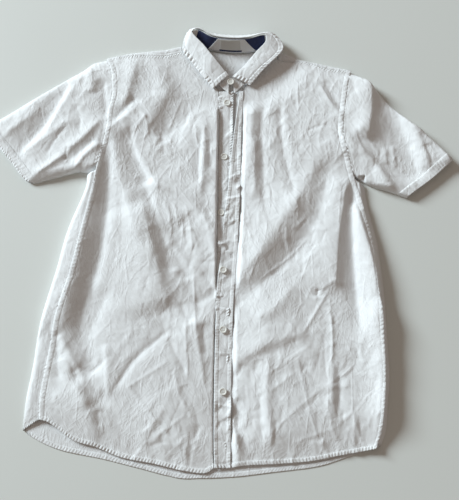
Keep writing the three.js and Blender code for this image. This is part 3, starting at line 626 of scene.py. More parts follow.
def pucker(points: Array, seams: Seams, seed: int, mask: Array | float = 1.0) -> Array:
    """The puckers that stitches draw up along the finished edges of a grid.

    Args:
        points: a grid of points.
        seams: its finished edges.
        seed: picks the spacing of the puckers.
        mask: a share of the height at each point.

    Returns:
        the height to add at each point.
    """
    total = np.zeros(points.shape[:2])
    for k, (edge, run, inward) in enumerate(seams.beside(points)):
        pitch, reach, height, slant, square = PUCKER[edge]
        height *= COVERED_SHARE if edge in seams.stripped else 1.0
        uneven = 2.4 * drift(run, inward * 0.2, 19, seed + k)  # shifts the waves to and fro
        wave = np.sin(2 * math.pi * (run + slant * seams.lean * inward) / pitch + uneven)
        swell = 0.6 + 0.4 * drift(run, inward * 0, 17, seed + 9 + k)
        fade = np.exp(-((inward / reach) ** square)) * smooth((inward - 0.3) / 1.8)
        groove = np.exp(-(((inward - reach) / 1.3) ** 2))
        total += height * (wave * swell * fade - 0.8 * groove * (0.8 + 0.2 * wave))
    return total * mask


# ---- meshes ----
def to_part(points: Array) -> Array:
    """Points of the cutting table, in the part's frame in metres."""
    return (points + SHIFT) * MM


def placed(name: str, data: bpy.types.ID) -> bpy.types.Object:
    """A new object of a mesh, a light or a camera, in the scene.

    Args:
        name: the object's name.
        data: what it shows.

    Returns:
        the object.
    """
    made = bpy.data.objects.new(name, data)
    bpy.context.scene.collection.objects.link(made)
    return made


def grid_piece(name: str, points: Array, seams: Seams | None = None, *, flip: bool = False,
               ring: bool = False) -> bpy.types.Object:
    """Makes a piece of cloth from a grid of points.

    Args:
        name: the piece's name.
        points: rows of columns of points on the cutting table.
        seams: the finished edges, which the cloth finish puckers.
        flip: turns the faces over.
        ring: closes the columns into a tube, where the last column repeats the first.

    Returns:
        the piece, with a UV map of the cloth in metres and the seams as an attribute.
    """
    rows, columns = points.shape[:2]
    mesh = bpy.data.meshes.new(name)
    bm = bmesh.new()
    layer = bm.loops.layers.uv.new("cloth")
    bmesh.ops.create_grid(bm, x_segments=columns - 1, y_segments=rows - 1, size=1, calc_uvs=False)
    seam_layer = bm.verts.layers.float_vector.new("seam")
    metres = to_part(points)
    flat = flat_run(points)
    beside = nearest_seam(points, seams or Seams())
    cell: dict[int, tuple[int, int]] = {}
    for vert in bm.verts:
        column = round((vert.co.x + 1) / 2 * (columns - 1))
        row = round((vert.co.y + 1) / 2 * (rows - 1))
        cell[vert.index] = (row, column)
        vert.co = metres[row, column]
        vert[seam_layer] = beside[row, column]
    for face in bm.faces:
        for loop in face.loops:
            loop[layer].uv = flat[cell[loop.vert.index]]
    if flip:
        bmesh.ops.reverse_faces(bm, faces=bm.faces[:])
    if ring:
        bmesh.ops.remove_doubles(bm, verts=bm.verts[:], dist=1e-6)
    bm.to_mesh(mesh)
    bm.free()
    mesh.shade_smooth()
    return placed(name, mesh)


def flat_run(points: Array) -> Array:
    """The cloth's own flat coordinates in metres, from the lengths along the middle row and column.

    Args:
        points: a grid of points.

    Returns:
        u and v of each point.
    """
    rows, columns = points.shape[:2]
    across = np.linalg.norm(np.diff(points[rows // 2], axis=0), axis=1).cumsum()
    up = np.linalg.norm(np.diff(points[:, columns // 2], axis=0), axis=1).cumsum()
    u, v = np.meshgrid(np.concatenate([[0], across]), np.concatenate([[0], up]))
    return np.stack([u, v], axis=-1) * MM


def nearest_seam(points: Array, seams: Seams) -> Array:
    """Run along the nearest finished edge, distance in from it, both in metres, and its pucker height.

    Args:
        points: a grid of points.
        seams: its finished edges.

    Returns:
        three values for each point.
    """
    found = np.zeros((*points.shape[:2], 3))
    found[..., 1] = 1.0
    for edge, run, inward in seams.beside(points):
        near = inward * MM < found[..., 1]
        values = np.stack([run * MM, inward * MM, np.full(run.shape, PUCKER[edge][2])], axis=-1)
        found = np.where(near[..., None], values, found)
    return found


def shell(piece: bpy.types.Object, thick: float = CLOTH) -> bpy.types.Object:
    """Gives a piece its wall, inwards from its outside, in millimetres.

    Args:
        piece: a sheet.
        thick: its wall.

    Returns:
        the piece.
    """
    wall = piece.modifiers.new("wall", "SOLIDIFY")
    wall.thickness = thick * MM
    wall.offset = -1
    return piece


@dataclass
class Stitches:
    """Rows of thread on a piece."""

    name: str
    length: float = 2.0
    gap: float = 1.0
    radius: float = 0.17
    places: list[tuple[Array, Array, Array]] = field(default_factory=list)

    def row(self, path: Array, up: Array, lift: float = 0.0) -> None:
        """Adds one row of stitches.

        Args:
            path: points of the row, on the cloth's outside.
            up: the way out of the cloth at each point.
            lift: how far out from the path it is sewn.
        """
        path = path + up * lift
        run = np.concatenate([[0], np.linalg.norm(np.diff(path, axis=0), axis=1).cumsum()])
        step = self.length + self.gap
        for k in range(int(run[-1] / step)):
            span = [k * step, k * step + self.length]
            a, b = (np.array([np.interp(s, run, path[:, axis]) for axis in range(3)]) for s in span)
            out = np.array([np.interp(span[0], run, up[:, axis]) for axis in range(3)])
            self.places.append((a, b, out))

    def build(self, material: bpy.types.Material) -> bpy.types.Object:
        """Makes one mesh of all the stitches, in one finish.

        Args:
            material: the thread's finish.

        Returns:
            the mesh as an object.
        """
        bm = bmesh.new()
        whole = bmesh.new()
        mesh = bpy.data.meshes.new(self.name)
        for index, (a, b, out) in enumerate(self.places):
            start, end = (Vector(to_part(p)) for p in (a, b))
            along = end - start
            lift = Vector(out).normalized() * self.radius * 0.3 * MM
            turn = along.to_track_quat("Z", "Y").to_matrix().to_4x4()
            half = along.length / 2
            size = Matrix.Diagonal((self.radius * MM, self.radius * MM, half, 1))
            place = Matrix.Translation((start + end) / 2 + lift) @ turn @ size
            bmesh.ops.create_uvsphere(bm, u_segments=5, v_segments=3, radius=1, matrix=place)
            if index % 200 == 199:
                bm.to_mesh(mesh)
                whole.from_mesh(mesh)
                bm.clear()
        bm.to_mesh(mesh)
        whole.from_mesh(mesh)
        whole.to_mesh(mesh)
        bm.free()
        whole.free()
        mesh.shade_smooth()
        mesh.materials.append(material)
        return placed(self.name, mesh)


def normals_of(points: Array) -> Array:
    """The way out of a grid at each of its points.

    Args:
        points: a grid of points.

    Returns:
        a unit vector for each point.
    """
    across = np.gradient(points, axis=1)
    up = np.gradient(points, axis=0)
    out = np.cross(across, up)
    return out / np.maximum(1e-9, np.linalg.norm(out, axis=2, keepdims=True))


def inset_row(points: Array, side: str, inward: float) -> tuple[Array, Array]:
    """A row that runs along a side of a grid, a little in from it.

    Args:
        points: a grid of points.
        side: "south", "north", "west" or "east".
        inward: how far in from that side the row runs, in millimetres.

    Returns:
        the row's points and the way out at each.
    """
    out = normals_of(points)
    turned = {"south": (points, out), "north": (points[::-1], out[::-1]),
              "west": (points.swapaxes(0, 1), out.swapaxes(0, 1)),
              "east": (points.swapaxes(0, 1)[::-1], out.swapaxes(0, 1)[::-1])}
    grid, way = turned[side]
    run = np.zeros(grid.shape[:2])
    run[1:] = np.linalg.norm(np.diff(grid, axis=0), axis=2).cumsum(axis=0)
    path, up = [], []
    for column in range(grid.shape[1]):
        path.append([np.interp(inward, run[:, column], grid[:, column, k]) for k in range(3)])
        up.append([np.interp(inward, run[:, column], way[:, column, k]) for k in range(3)])
    return np.array(path), np.array(up)


def turned_edge(name: str, points: Array, side: str, edge: Edge, seed: int, lean: float = 1.0,
                fine: float = 0.8, share: float = 1.0, over: float = 0.0) -> bpy.types.Object:
    """A turned-over strip along a side of a grid of cloth, with its own fine puckers.

    Args:
        name: the strip's name.
        points: the grid of the cloth that it edges.
        side: the side that it runs along, as inset_row has it.
        edge: how that side is finished.
        seed: picks the spacing of the puckers.
        lean: turns their slant over where it is negative.
        fine: the pitch of its mesh along the edge, in millimetres.
        share: of the puckers' usual height.
        over: how far it reaches out over the edge, in millimetres.

    Returns:
        the turned-over strip on that side, with the puckers that its stitches draw up.
    """
    pitch, reach, height, slant, _ = PUCKER[edge]
    depth = np.linspace(0, reach + 1.2, int(reach / 0.95) + 3)
    rows = [inset_row(points, side, float(inward)) for inward in depth]
    path, way = (np.array([row[k] for row in rows]) for k in (0, 1))
    if over:
        outward = (path[0] - path[1]) / np.linalg.norm(path[0] - path[1], axis=1, keepdims=True)
        path, way = np.concatenate([[path[0] + over * outward], path]), np.concatenate([way[:1], way])
        depth = np.concatenate([[-over], depth])
    run = np.concatenate([[0], np.linalg.norm(np.diff(path[0], axis=0), axis=1).cumsum()])
    along = np.linspace(0, run[-1], int(run[-1] / fine) + 1)
    place = np.interp(along, run, np.arange(len(run)))
    first = np.minimum(place.astype(int), len(run) - 2)
    past = (place - first)[:, None]
    path, way = (grid[:, first] * (1 - past) + grid[:, first + 1] * past for grid in (path, way))
    run, inward = np.meshgrid(along, depth)
    turns = (run + slant * lean * inward) / pitch + 0.4 * drift(run, inward * 0.2, 19, seed)
    swell = 0.75 + 0.4 * drift(run, inward * 0, 17, seed + 9)
    fade = smooth((inward + 0.5) / 1.5) * (1 - smooth((inward - reach + 1.6) / 1.8))
    rise = 0.1 + 0.25 * smooth(inward / 1.2) - 0.7 * smooth((inward - reach) / 1.2)
    rise = rise + share * height * (np.abs(np.sin(math.pi * turns)) ** 0.7 - 0.5) * swell * fade
    return grid_piece(name, path + way * rise[..., None], flip=side in ("north", "west"))


# ---- finishes ----
class Graph:
    """Adds nodes to a tree and joins them."""

    def __init__(self, tree: bpy.types.NodeTree) -> None:
        """Keeps the tree."""
        self.tree = tree

    def add(self, kind: str, inputs: dict | None = None, **settings: object) -> bpy.types.Node:
        """Adds a node.

        Args:
            kind: the node's type name.
            inputs: values or sockets for its inputs, by name or place.
            settings: its own settings.

        Returns:
            the node.
        """
        node = self.tree.nodes.new(kind)
        for key, value in settings.items():
            setattr(node, key, value)
        for key, value in (inputs or {}).items():
            if isinstance(value, bpy.types.NodeSocket):
                self.tree.links.new(value, node.inputs[key])
            else:
                node.inputs[key].default_value = value
        return node

    def group(self, tree: bpy.types.NodeTree, inputs: dict) -> bpy.types.Node:
        """A shared effect, placed in this tree."""
        return self.add("ShaderNodeGroup", inputs, node_tree=tree)

    def math(self, operation: str, *values: object) -> bpy.types.NodeSocket:
        """The result of a Math node."""
        return self.add("ShaderNodeMath", dict(enumerate(values)), operation=operation).outputs[0]

    def vector(self, operation: str, inputs: dict) -> bpy.types.NodeSocket:
        """The result of a Vector Math node."""
        return self.add("ShaderNodeVectorMath", inputs, operation=operation).outputs[0]

    def mix(self, share: bpy.types.NodeSocket, first: tuple[float, float, float],
            second: tuple[float, float, float]) -> bpy.types.NodeSocket:
        """Two colours mixed by a share."""
        return self.add("ShaderNodeMix", {0: share, 6: (*first, 1), 7: (*second, 1)},
                        data_type="RGBA").outputs[2]

    def streaks(self, vector: bpy.types.NodeSocket, turn: float, length: float,
                depth: float = 1.0) -> bpy.types.NodeSocket:
        """A place turned about z and drawn out along y, so that an effect on it runs in streaks.

        Args:
            vector: the place.
            turn: in degrees.
            length: how much longer the streaks are than wide.
            depth: the scale along z.

        Returns:
            the new place.
        """
        turned = self.add("ShaderNodeVectorRotate", {"Vector": vector, "Angle": math.radians(turn)},
                          rotation_type="Z_AXIS")
        return self.vector("MULTIPLY", {0: turned.outputs[0], 1: (1.0, 1 / length, depth)})

    def noise(self, vector: bpy.types.NodeSocket, scale: float, detail: float) -> bpy.types.NodeSocket:
        """Soft noise at a place."""
        return self.add("ShaderNodeTexNoise", {"Vector": vector, "Scale": scale, "Detail": detail}).outputs[0]

    def ramp(self, value: bpy.types.NodeSocket, start: tuple[float, float], end: tuple[float, object],
             kind: str = "LINEAR") -> bpy.types.NodeSocket:
        """A value carried over from one range to another.

        Args:
            value: the value.
            start: the result and the value that it belongs to, where the range starts.
            end: the same where it ends.
            kind: how it goes between them.

        Returns:
            the result.
        """
        inputs = {"Value": value, "From Min": start[1], "From Max": end[1], "To Min": start[0],
                  "To Max": end[0]}
        return self.add("ShaderNodeMapRange", inputs, interpolation_type=kind).outputs[0]


def new_group(name: str, inputs: dict[str, float | None], outputs: Sequence[str]) -> tuple[
        Graph, dict[str, bpy.types.NodeSocket], bpy.types.Node]:
    """Starts a shared effect.

    Args:
        name: the group's name.
        inputs: each input with its value, or None where it is a vector.
        outputs: the outputs' names.

    Returns:
        the group's graph, its inputs' sockets and its output node.
    """
    tree = bpy.data.node_groups.new(name, "ShaderNodeTree")
    for key, value in inputs.items():
        kind = "NodeSocketVector" if value is None else "NodeSocketFloat"
        socket = tree.interface.new_socket(key, in_out="INPUT", socket_type=kind)
        if value is not None:
            socket.default_value = value
    for key in outputs:
        kind = "NodeSocketVector" if key == "Normal" else "NodeSocketFloat"
        tree.interface.new_socket(key, in_out="OUTPUT", socket_type=kind)
    graph = Graph(tree)
    source = graph.add("NodeGroupInput")
    sink = graph.add("NodeGroupOutput")
    return graph, {key: source.outputs[key] for key in inputs}, sink


def weave_group() -> bpy.types.NodeTree:
    """Plain weave: threads that pass over and under each other.

    Returns:
        the group's tree.
    """
    graph, given, sink = new_group("plain weave", {"Vector": None, "Pitch": 0.0005}, ["Height"])
    split = graph.add("ShaderNodeSeparateXYZ", {0: given["Vector"]})
    waves = [graph.math("SINE", graph.math("MULTIPLY", graph.math("DIVIDE", axis, given["Pitch"]), math.pi))
             for axis in split.outputs[:2]]
    graph.tree.links.new(graph.math("MULTIPLY", *waves), sink.inputs["Height"])
    return graph.tree


def wrinkle_group() -> bpy.types.NodeTree:
    """Fine creases left by washing: short straight streaks that lean two ways, in patches.

    Returns:
        the group's tree.
    """
    graph, given, sink = new_group("fine wrinkles", {"Vector": None, "Width": 0.0055}, ["Height"])
    place = given["Vector"]
    scale = graph.math("DIVIDE", 1.0, given["Width"])
    heights = []
    for turn, length, share, detail in ((8, 6.0, 0.5, 1.0), (-30, 7.0, 0.55, 0.5), (50, 6.0, 0.4, 0.5)):
        noise = graph.add("ShaderNodeTexNoise", {"Vector": graph.streaks(place, turn, length), "Scale": scale,
                          "Detail": detail, "Roughness": 0.5, "Distortion": 0.0})
        fold = graph.math("ABSOLUTE", graph.math("SUBTRACT", noise.outputs[0], 0.5))
        ridge = graph.ramp(fold, (1.0, 0.0), (0.0, 0.1), "SMOOTHSTEP")
        mask = graph.ramp(graph.noise(place, 26.0 + turn / 9, 2.0), (0.0, 0.46), (1.0, 0.6))
        heights.append(graph.math("MULTIPLY", graph.math("MULTIPLY", ridge, share), mask))
    for turn, length, cell in ((10, 2.6, 0.024), (-36, 2.2, 0.017)):
        cells = graph.add("ShaderNodeTexVoronoi", {"Vector": graph.streaks(place, turn, length, 0.0),
                          "Scale": 1 / cell}, feature="DISTANCE_TO_EDGE")
        near = graph.ramp(cells.outputs["Distance"], (0.8, 0.0), (0.0, 0.0022 / cell), "SMOOTHSTEP")
        mask = graph.ramp(graph.noise(place, 34.0 + turn, 1.0), (-0.5, 0.44), (1.0, 0.56))
        heights.append(graph.math("MULTIPLY", near, mask))
    total = heights[0]
    for height in heights[1:]:
        total = graph.math("ADD", total, height)
    graph.tree.links.new(total, sink.inputs["Height"])
    return graph.tree


def flats_group() -> bpy.types.NodeTree:
    """Crumpled cloth's small flats: each turns the surface a little its own way.

    Returns:
        the group's tree.
    """
    graph, given, sink = new_group("crumpled flats", {"Vector": None, "Size": 0.008, "Turn": 0.2}, ["Normal"])
    total = graph.add("ShaderNodeNewGeometry").outputs["Normal"]
    for turn, length, finer in ((8, 2.6, 1.0), (-33, 2.2, 0.5)):
        scale = graph.math("DIVIDE", 1 / finer, given["Size"])
        cells = graph.add("ShaderNodeTexVoronoi", {"Vector": graph.streaks(given["Vector"], turn, length),
                          "Scale": scale, "Smoothness": 0.3}, feature="SMOOTH_F1")
        tilt = graph.vector("SUBTRACT", {0: cells.outputs["Color"], 1: (0.5, 0.5, 0.5)})
        amount = graph.math("MULTIPLY", given["Turn"], 0.6 + 0.4 * finer)
        total = graph.vector("ADD", {0: total, 1: graph.vector("SCALE", {0: tilt, "Scale": amount})})
    graph.tree.links.new(graph.vector("NORMALIZE", {0: total}), sink.inputs["Normal"])
    return graph.tree


def pucker_group() -> bpy.types.NodeTree:
    """Small puckers drawn up by the stitches beside an edge.

    Returns:
        the group's tree.
    """
    graph, given, sink = new_group("seam puckers", {"Seam": None, "Pitch": 0.0045, "Reach": 0.007},
                                   ["Height"])
    split = graph.add("ShaderNodeSeparateXYZ", {0: given["Seam"]})
    run, inward, share = split.outputs
    phase = graph.math("MULTIPLY", graph.noise(given["Seam"], 90.0, 1.0), 9.0)
    slant = graph.math("ADD", run, graph.math("MULTIPLY", inward, 0.7))
    turns = graph.math("MULTIPLY", graph.math("DIVIDE", slant, given["Pitch"]), 2 * math.pi)
    wave = graph.math("SINE", graph.math("ADD", turns, phase))
    fade = graph.ramp(inward, (1.0, 0.0), (0.0, given["Reach"]), "SMOOTHSTEP")
    mask = graph.math("MULTIPLY", fade, share)
    graph.tree.links.new(graph.math("MULTIPLY", wave, mask), sink.inputs["Height"])
    return graph.tree


def new_material(name: str) -> tuple[bpy.types.Material, Graph, bpy.types.Node]:
    """A material with its graph and its output node.

    Args:
        name: the material's name.

    Returns:
        the three of them.
    """
    made = bpy.data.materials.new(name)
    made.use_nodes = True
    graph = Graph(made.node_tree)
    made.node_tree.nodes.clear()
    return made, graph, graph.add("ShaderNodeOutputMaterial")


@dataclass(frozen=True)
class ClothFinish:
    """A woven cloth."""

    name: str
    light: tuple[float, float, float]
    dark: tuple[float, float, float]
    pitch: float = 0.55  # of the weave, in millimetres
    wrinkle: float = 0.32  # height of the fine wrinkles, in millimetres
    flats: float = 0.06  # how far the small flats turn
    sheen: float = 0.12
    roughness: float = 0.85

    def material(self, groups: dict[str, bpy.types.NodeTree]) -> bpy.types.Material:
        """Builds the finish.

        Args:
            groups: the shared effects.

        Returns:
            the finish as a material.
        """
        made, graph, out = new_material(self.name)
        cloth = graph.add("ShaderNodeUVMap", uv_map="cloth").outputs[0]
        place = graph.add("ShaderNodeTexCoord").outputs["Object"]
        seam = graph.add("ShaderNodeAttribute", attribute_name="seam").outputs["Vector"]
        weave = graph.group(groups["weave"], {"Vector": cloth, "Pitch": self.pitch * MM})
        wrinkle = graph.group(groups["wrinkle"], {"Vector": place})
        puckers = graph.group(groups["pucker"], {"Seam": seam})
        tint = graph.mix(graph.noise(place, 9.0, 4.0), self.light, self.dark)
        flats = graph.group(groups["flats"], {"Vector": place, "Turn": self.flats})
        normal = self._bump(graph, weave.outputs["Height"], 0.05, flats.outputs["Normal"])
        normal = self._bump(graph, wrinkle.outputs["Height"], self.wrinkle, normal)
        normal = self._bump(graph, puckers.outputs["Height"], 0.4, normal)
        shader = graph.add("ShaderNodeBsdfPrincipled", {
            "Base Color": tint, "Roughness": self.roughness, "Normal": normal,
            "Sheen Weight": self.sheen, "Sheen Roughness": 0.4, "Specular IOR Level": 0.25})
        graph.tree.links.new(shader.outputs[0], out.inputs["Surface"])
        return made

    @staticmethod
    def _bump(graph: Graph, height: bpy.types.NodeSocket, millimetres: float,
              normal: bpy.types.NodeSocket) -> bpy.types.NodeSocket:
        """A height as a bump of so many millimetres, over another bump.

        Args:
            graph: the material's nodes.
            height: what the bump follows.
            millimetres: its depth.
            normal: the bump under it.

        Returns:
            the bumped normal.
        """
        inputs = {"Height": height, "Distance": millimetres * MM, "Strength": 1.0, "Normal": normal}
        return graph.add("ShaderNodeBump", inputs).outputs[0]


@dataclass(frozen=True)
class HardFinish:
    """A moulded or spun surface with a faint cloud in its colour."""

    name: str
    colour: tuple[float, float, float]
    cloud: tuple[float, float, float]
    roughness: float
    grain: float = 300.0
    bump: float = 0.02

    def material(self) -> bpy.types.Material:
        """The finish as a material.

        Returns:
            the material.
        """
        made, graph, out = new_material(self.name)
        place = graph.add("ShaderNodeTexCoord").outputs["Object"]
        noise = graph.noise(place, self.grain, 3.0)
        tint = graph.mix(noise, self.colour, self.cloud)
        bump = graph.add("ShaderNodeBump", {"Height": noise, "Distance": self.bump * MM})
        shader = graph.add("ShaderNodeBsdfPrincipled", {
            "Base Color": tint, "Roughness": self.roughness, "Normal": bump.outputs[0]})
        graph.tree.links.new(shader.outputs[0], out.inputs["Surface"])
        return made


@dataclass
class Finishes:
    """All the shirt's finishes."""

    shirting: bpy.types.Material
    lining: bpy.types.Material
    label: bpy.types.Material
    button: bpy.types.Material
    thread: bpy.types.Material

    @classmethod
    def make(cls) -> "Finishes":
        """Builds the shared effects and each finish from them.

        Returns:
            the finishes.
        """
        groups = {"weave": weave_group(), "wrinkle": wrinkle_group(), "pucker": pucker_group(),
                  "flats": flats_group()}
        white = ClothFinish("white cotton", (0.8, 0.805, 0.81), (0.77, 0.775, 0.78))
        navy = ClothFinish("navy cotton", (0.022, 0.032, 0.09), (0.035, 0.046, 0.115), pitch=0.7, sheen=0.25)
        grey = ClothFinish("woven label", (0.70, 0.71, 0.69), (0.62, 0.63, 0.61), pitch=0.4, wrinkle=0.1,
                          flats=0.02)
        pearl = HardFinish("pearly button", (0.82, 0.81, 0.77), (0.72, 0.71, 0.67), 0.32)
        thread = HardFinish("white thread", (0.84, 0.84, 0.83), (0.76, 0.76, 0.75), 0.8, grain=1500)
        return cls(white.material(groups), navy.material(groups), grey.material(groups), pearl.material(),
                   thread.material())


# ---- sub-assemblies ----
@dataclass
class Assembly:
    """What every sub-assembly shares: its finishes, and how a piece is handed to the frame."""

    finishes: Finishes

    def dress(self, piece: bpy.types.Object, material: bpy.types.Material, slot: str, *nodes: str,
              thick: float | None = CLOTH) -> bpy.types.Object:
        """Finishes a piece and hands it to the frame.

        Args:
            piece: the piece.
            material: its finish.
            slot: the record's material slot; not used.
            nodes: the solids that it stands for.
            thick: its wall in millimetres, or None where it has one.

        Returns:
            the piece, riding on the shirt.
        """
        piece.data.materials.append(material)
        if thick is not None:
            shell(piece, thick)
        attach(piece, "root")
        if nodes:
            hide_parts(*nodes)
        LOG.info("%s: %d points", piece.name, len(piece.data.vertices))
        return piece

    def trim(self, strip: bpy.types.Object) -> bpy.types.Object:
        """Dresses a turned-over strip in the shirt's cloth."""
        return self.dress(strip, self.finishes.shirting, "shirting", thick=EDGE_WALL)

    def sew(self, stitches: Stitches) -> bpy.types.Object:
        """Builds rows of stitches and hands them to the frame.

        Args:
            stitches: the rows.

        Returns:
            the thread as one piece.
        """
        piece = stitches.build(self.finishes.thread)
        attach(piece, "root")
        LOG.info("%s: %d stitches", piece.name, len(stitches.places))
        return piece


def with_height(flat: Array, z: Array) -> Array:
    """A grid of x and y with its heights."""
    return np.concatenate([flat, z[..., None]], axis=-1)


@dataclass
class Fronts(Assembly):
    """The two fronts, from the side seams to the bands."""

    across: int = 150
    up: int = 300
    hem: float = HEM_STITCH

    def build(self) -> list[bpy.types.Object]:
        """Makes both fronts with their stitches."""
        return [self._right(), self._left()]

    def _right(self) -> bpy.types.Object:
        """The wearer's right front.

        Returns:
            the front.
        """
        side = [*RIGHT_SIDE_SEAM, *RIGHT_ARMHOLE[1:]]
        patch = Patch(Line(FRONT_RIGHT_HEM), Line([*RIGHT_SHOULDER_SEAM, *RIGHT_NECK[1:]]), Line(side),
                      Line(BAND_EDGE))
        flat = patch.fill(shares(self.across), shares(self.up))
        x, y = flat[..., 0], flat[..., 1]
        z = RELIEF.top(x, y)
        edge = Line(BAND_EDGE).x_at(y) - x
        gap = Line(PLACKET_RIGHT_EDGE).x_at(y) - Line(BAND_EDGE).x_at(y)
        # it lies on the button band, and higher where the placket lies on it too
        low = BAND_TOP + 0.4 + 1.8 * (1 - smooth((gap - 1) / 3)) - HEM_SINK * RELIEF.sunk(x, y)
        z = low + (z - low) * rounding(edge, 3.5)
        seams = Seams(south=Edge.HEM, north=Edge.FELLED, west=Edge.FELLED, lean=-1,
                      stripped=(Edge.HEM, Edge.FELLED))
        z = z + self._hem_step(flat) + pucker(with_height(flat, z), seams, seed=3)
        return self._finish("front_right", with_height(flat, z), seams, (0.3, 0.69), "west")

    def _left(self) -> bpy.types.Object:
        """The wearer's left front.

        Returns:
            the front.
        """
        side = [*LEFT_SIDE_SEAM, *LEFT_ARMHOLE[1:]]
        patch = Patch(Line(FRONT_LEFT_HEM), Line([*LEFT_NECK, *LEFT_SHOULDER_SEAM[1:]]),
                      Line(PLACKET_LEFT_EDGE), Line(side))
        flat = patch.fill(shares(self.across), shares(self.up))
        x, y = flat[..., 0], flat[..., 1]
        z = RELIEF.top(x, y)
        beside = x - Line(PLACKET_LEFT_EDGE).x_at(y)
        low = LOWEST_TOP + 0.6 + 0.8 * drift(x * 0, y, 41, 6) - HEM_SINK * RELIEF.sunk(x, y)
        z = low + (z - low) * smooth(beside / 8)
        seams = Seams(south=Edge.HEM, north=Edge.FELLED, east=Edge.SEAM, stripped=(Edge.HEM, Edge.FELLED))
        z = z + self._hem_step(flat) + pucker(with_height(flat, z), seams, seed=5)
        return self._finish("front_left", with_height(flat, z), seams, (0.26, 0.69), "east")

    def _hem_step(self, flat: Array) -> Array:
        """Height of the turned-up hem over the single cloth beside it.

        Args:
            flat: x and y of the front's grid.

        Returns:
            the height at each point.
        """
        up = np.zeros(flat.shape[:2])
        up[1:] = np.linalg.norm(np.diff(flat, axis=0), axis=-1).cumsum(axis=0)
        return 0.45 * (1 - smooth((up - self.hem) / 1.2))

    def _finish(self, name: str, points: Array, seams: Seams, flat: tuple[float, float],
                side: str) -> bpy.types.Object:
        """Makes a front from its grid, with its stitches and turned-over strips.

        Args:
            name: the node's name.
            points: its grid.
            seams: its finished edges.
            flat: its cut's width and length, in metres; not used.
            side: the side that has the armhole.

        Returns:
            the front.
        """
        piece = grid_piece(f"{name}_cloth", points, seams)
        self.dress(piece, self.finishes.shirting, "shirting", name)
        rows = Stitches(f"{name}_stitches")
        rows.row(*inset_row(points, "south", self.hem), lift=HIGH_THREAD)
        rows.row(*inset_row(points, "north", NEAR_STITCH))
        rows.row(*inset_row(points, side, NEAR_STITCH), lift=0.4)
        rows.row(*inset_row(points, side, FAR_STITCH), lift=HIGH_THREAD)
        thread = self.sew(rows)
        hem = turned_edge(f"{name}_hem", points, "south", Edge.HEM, 53, seams.lean, share=0.85)
        share = 0.9 if side == "west" else 0.4
        seam = turned_edge(f"{name}_seam", points, side, Edge.FELLED, 67, fine=1.1, share=share,
                           over=NEAR_STITCH)
        for strip in (hem, seam):
            self.trim(strip)
        return piece


@dataclass
class Bands(Assembly):
    """The button band and the placket that laps over it."""

    across: int = 18
    up: int = 420
    edge_stitch: float = 4.5

    def build(self) -> list[bpy.types.Object]:
        """Makes both bands with their stitches."""
        return [self._band(), self._placket()]

    def _strip(self, west: Rows, east: Rows, height: Callable[[Array, Array, Array], Array],
               seams: Seams, seed: int) -> Array:
        """A strip of cloth between two edges, with its small creases and puckers.

        Args:
            west: its right edge.
            east: its left edge.
            height: gives its height from x, y and the share of the way across.
            seams: its finished edges.
            seed: picks its creases.

        Returns:
            a grid of points.
        """
        ends = [Line([west[k], east[k]]) for k in (0, -1)]
        patch = Patch(ends[0], ends[1], Line(west), Line(east))
        flat = patch.fill(shares(self.across), shares(self.up))
        x, y = flat[..., 0], flat[..., 1]
        u = np.broadcast_to(shares(self.across)[None], x.shape)
        crumple = Crumple(seed=seed, lean=40, spread=40, steep=2.1)
        z = height(x, y, u) - HEM_SINK * RELIEF.sunk(x, y) + np.maximum(-0.7, crumple.rise(x, y))
        return with_height(flat, z + pucker(with_height(flat, z), seams, seed))

    def _band(self) -> bpy.types.Object:
        """The wearer's right front edge, which carries the buttons.

        Returns:
            the button band.
        """
        east = [(min(x - 2, 2 + 0.02 * y), y) for x, y in PLACKET_LEFT_EDGE]
        seams = Seams(west=Edge.SEAM, east=Edge.TOPSTITCHED)
        points = self._strip(BAND_EDGE, east, lambda x, y, u: np.full(x.shape, BAND_TOP), seams, 41)
        piece = grid_piece("button_band_cloth", points, seams)
        self.dress(piece, self.finishes.shirting, "shirting", "button_band")
        return piece

    def _placket(self) -> bpy.types.Object:
        """The wearer's left front edge, with its free edge a little raised.

        Returns:
            the placket.
        """
        seams = Seams(south=Edge.HEM, west=Edge.TOPSTITCHED, east=Edge.TOPSTITCHED,
                      stripped=(Edge.TOPSTITCHED,))

        def height(x: Array, y: Array, u: Array) -> Array:
            """Height of the placket, which lifts towards its free edge."""
            return PLACKET_TOP + (1.5 + drift(x * 0, y, 33, 3)) * (1 - u) ** 2

        points = self._strip(PLACKET_RIGHT_EDGE, PLACKET_LEFT_EDGE, height, seams, 47)
        piece = grid_piece("placket_cloth", points, seams)
        self.dress(piece, self.finishes.shirting, "shirting", "placket")
        rows = Stitches("placket_stitches")
        for side in ("west", "east"):
            rows.row(*inset_row(points, side, self.edge_stitch), lift=0.3)
            strip = turned_edge(f"placket_edge_{side}", points, side, Edge.TOPSTITCHED, 71, fine=1.2,
                                share=0.8)
            self.trim(strip)
        thread = self.sew(rows)
        return piece


@dataclass(frozen=True)
class Side:
    """A side of the body: its fold, its seam and the armhole above it."""

    fold: Line
    seam: Line
    armhole: Line
    inward: int  # 1 where the body lies towards +x, or -1
    last: float  # share of the way up where the side seam ends under the arm
    seam_top: float  # the y of that end


RIGHT_SIDE = Side(Line(RIGHT_SIDE_FOLD), Line(RIGHT_SIDE_SEAM), Line(RIGHT_ARMHOLE), 1, 0.7317, 134)
LEFT_SIDE = Side(Line(LEFT_SIDE_FOLD), Line(LEFT_SIDE_SEAM), Line(LEFT_ARMHOLE), -1, 0.712, 119)


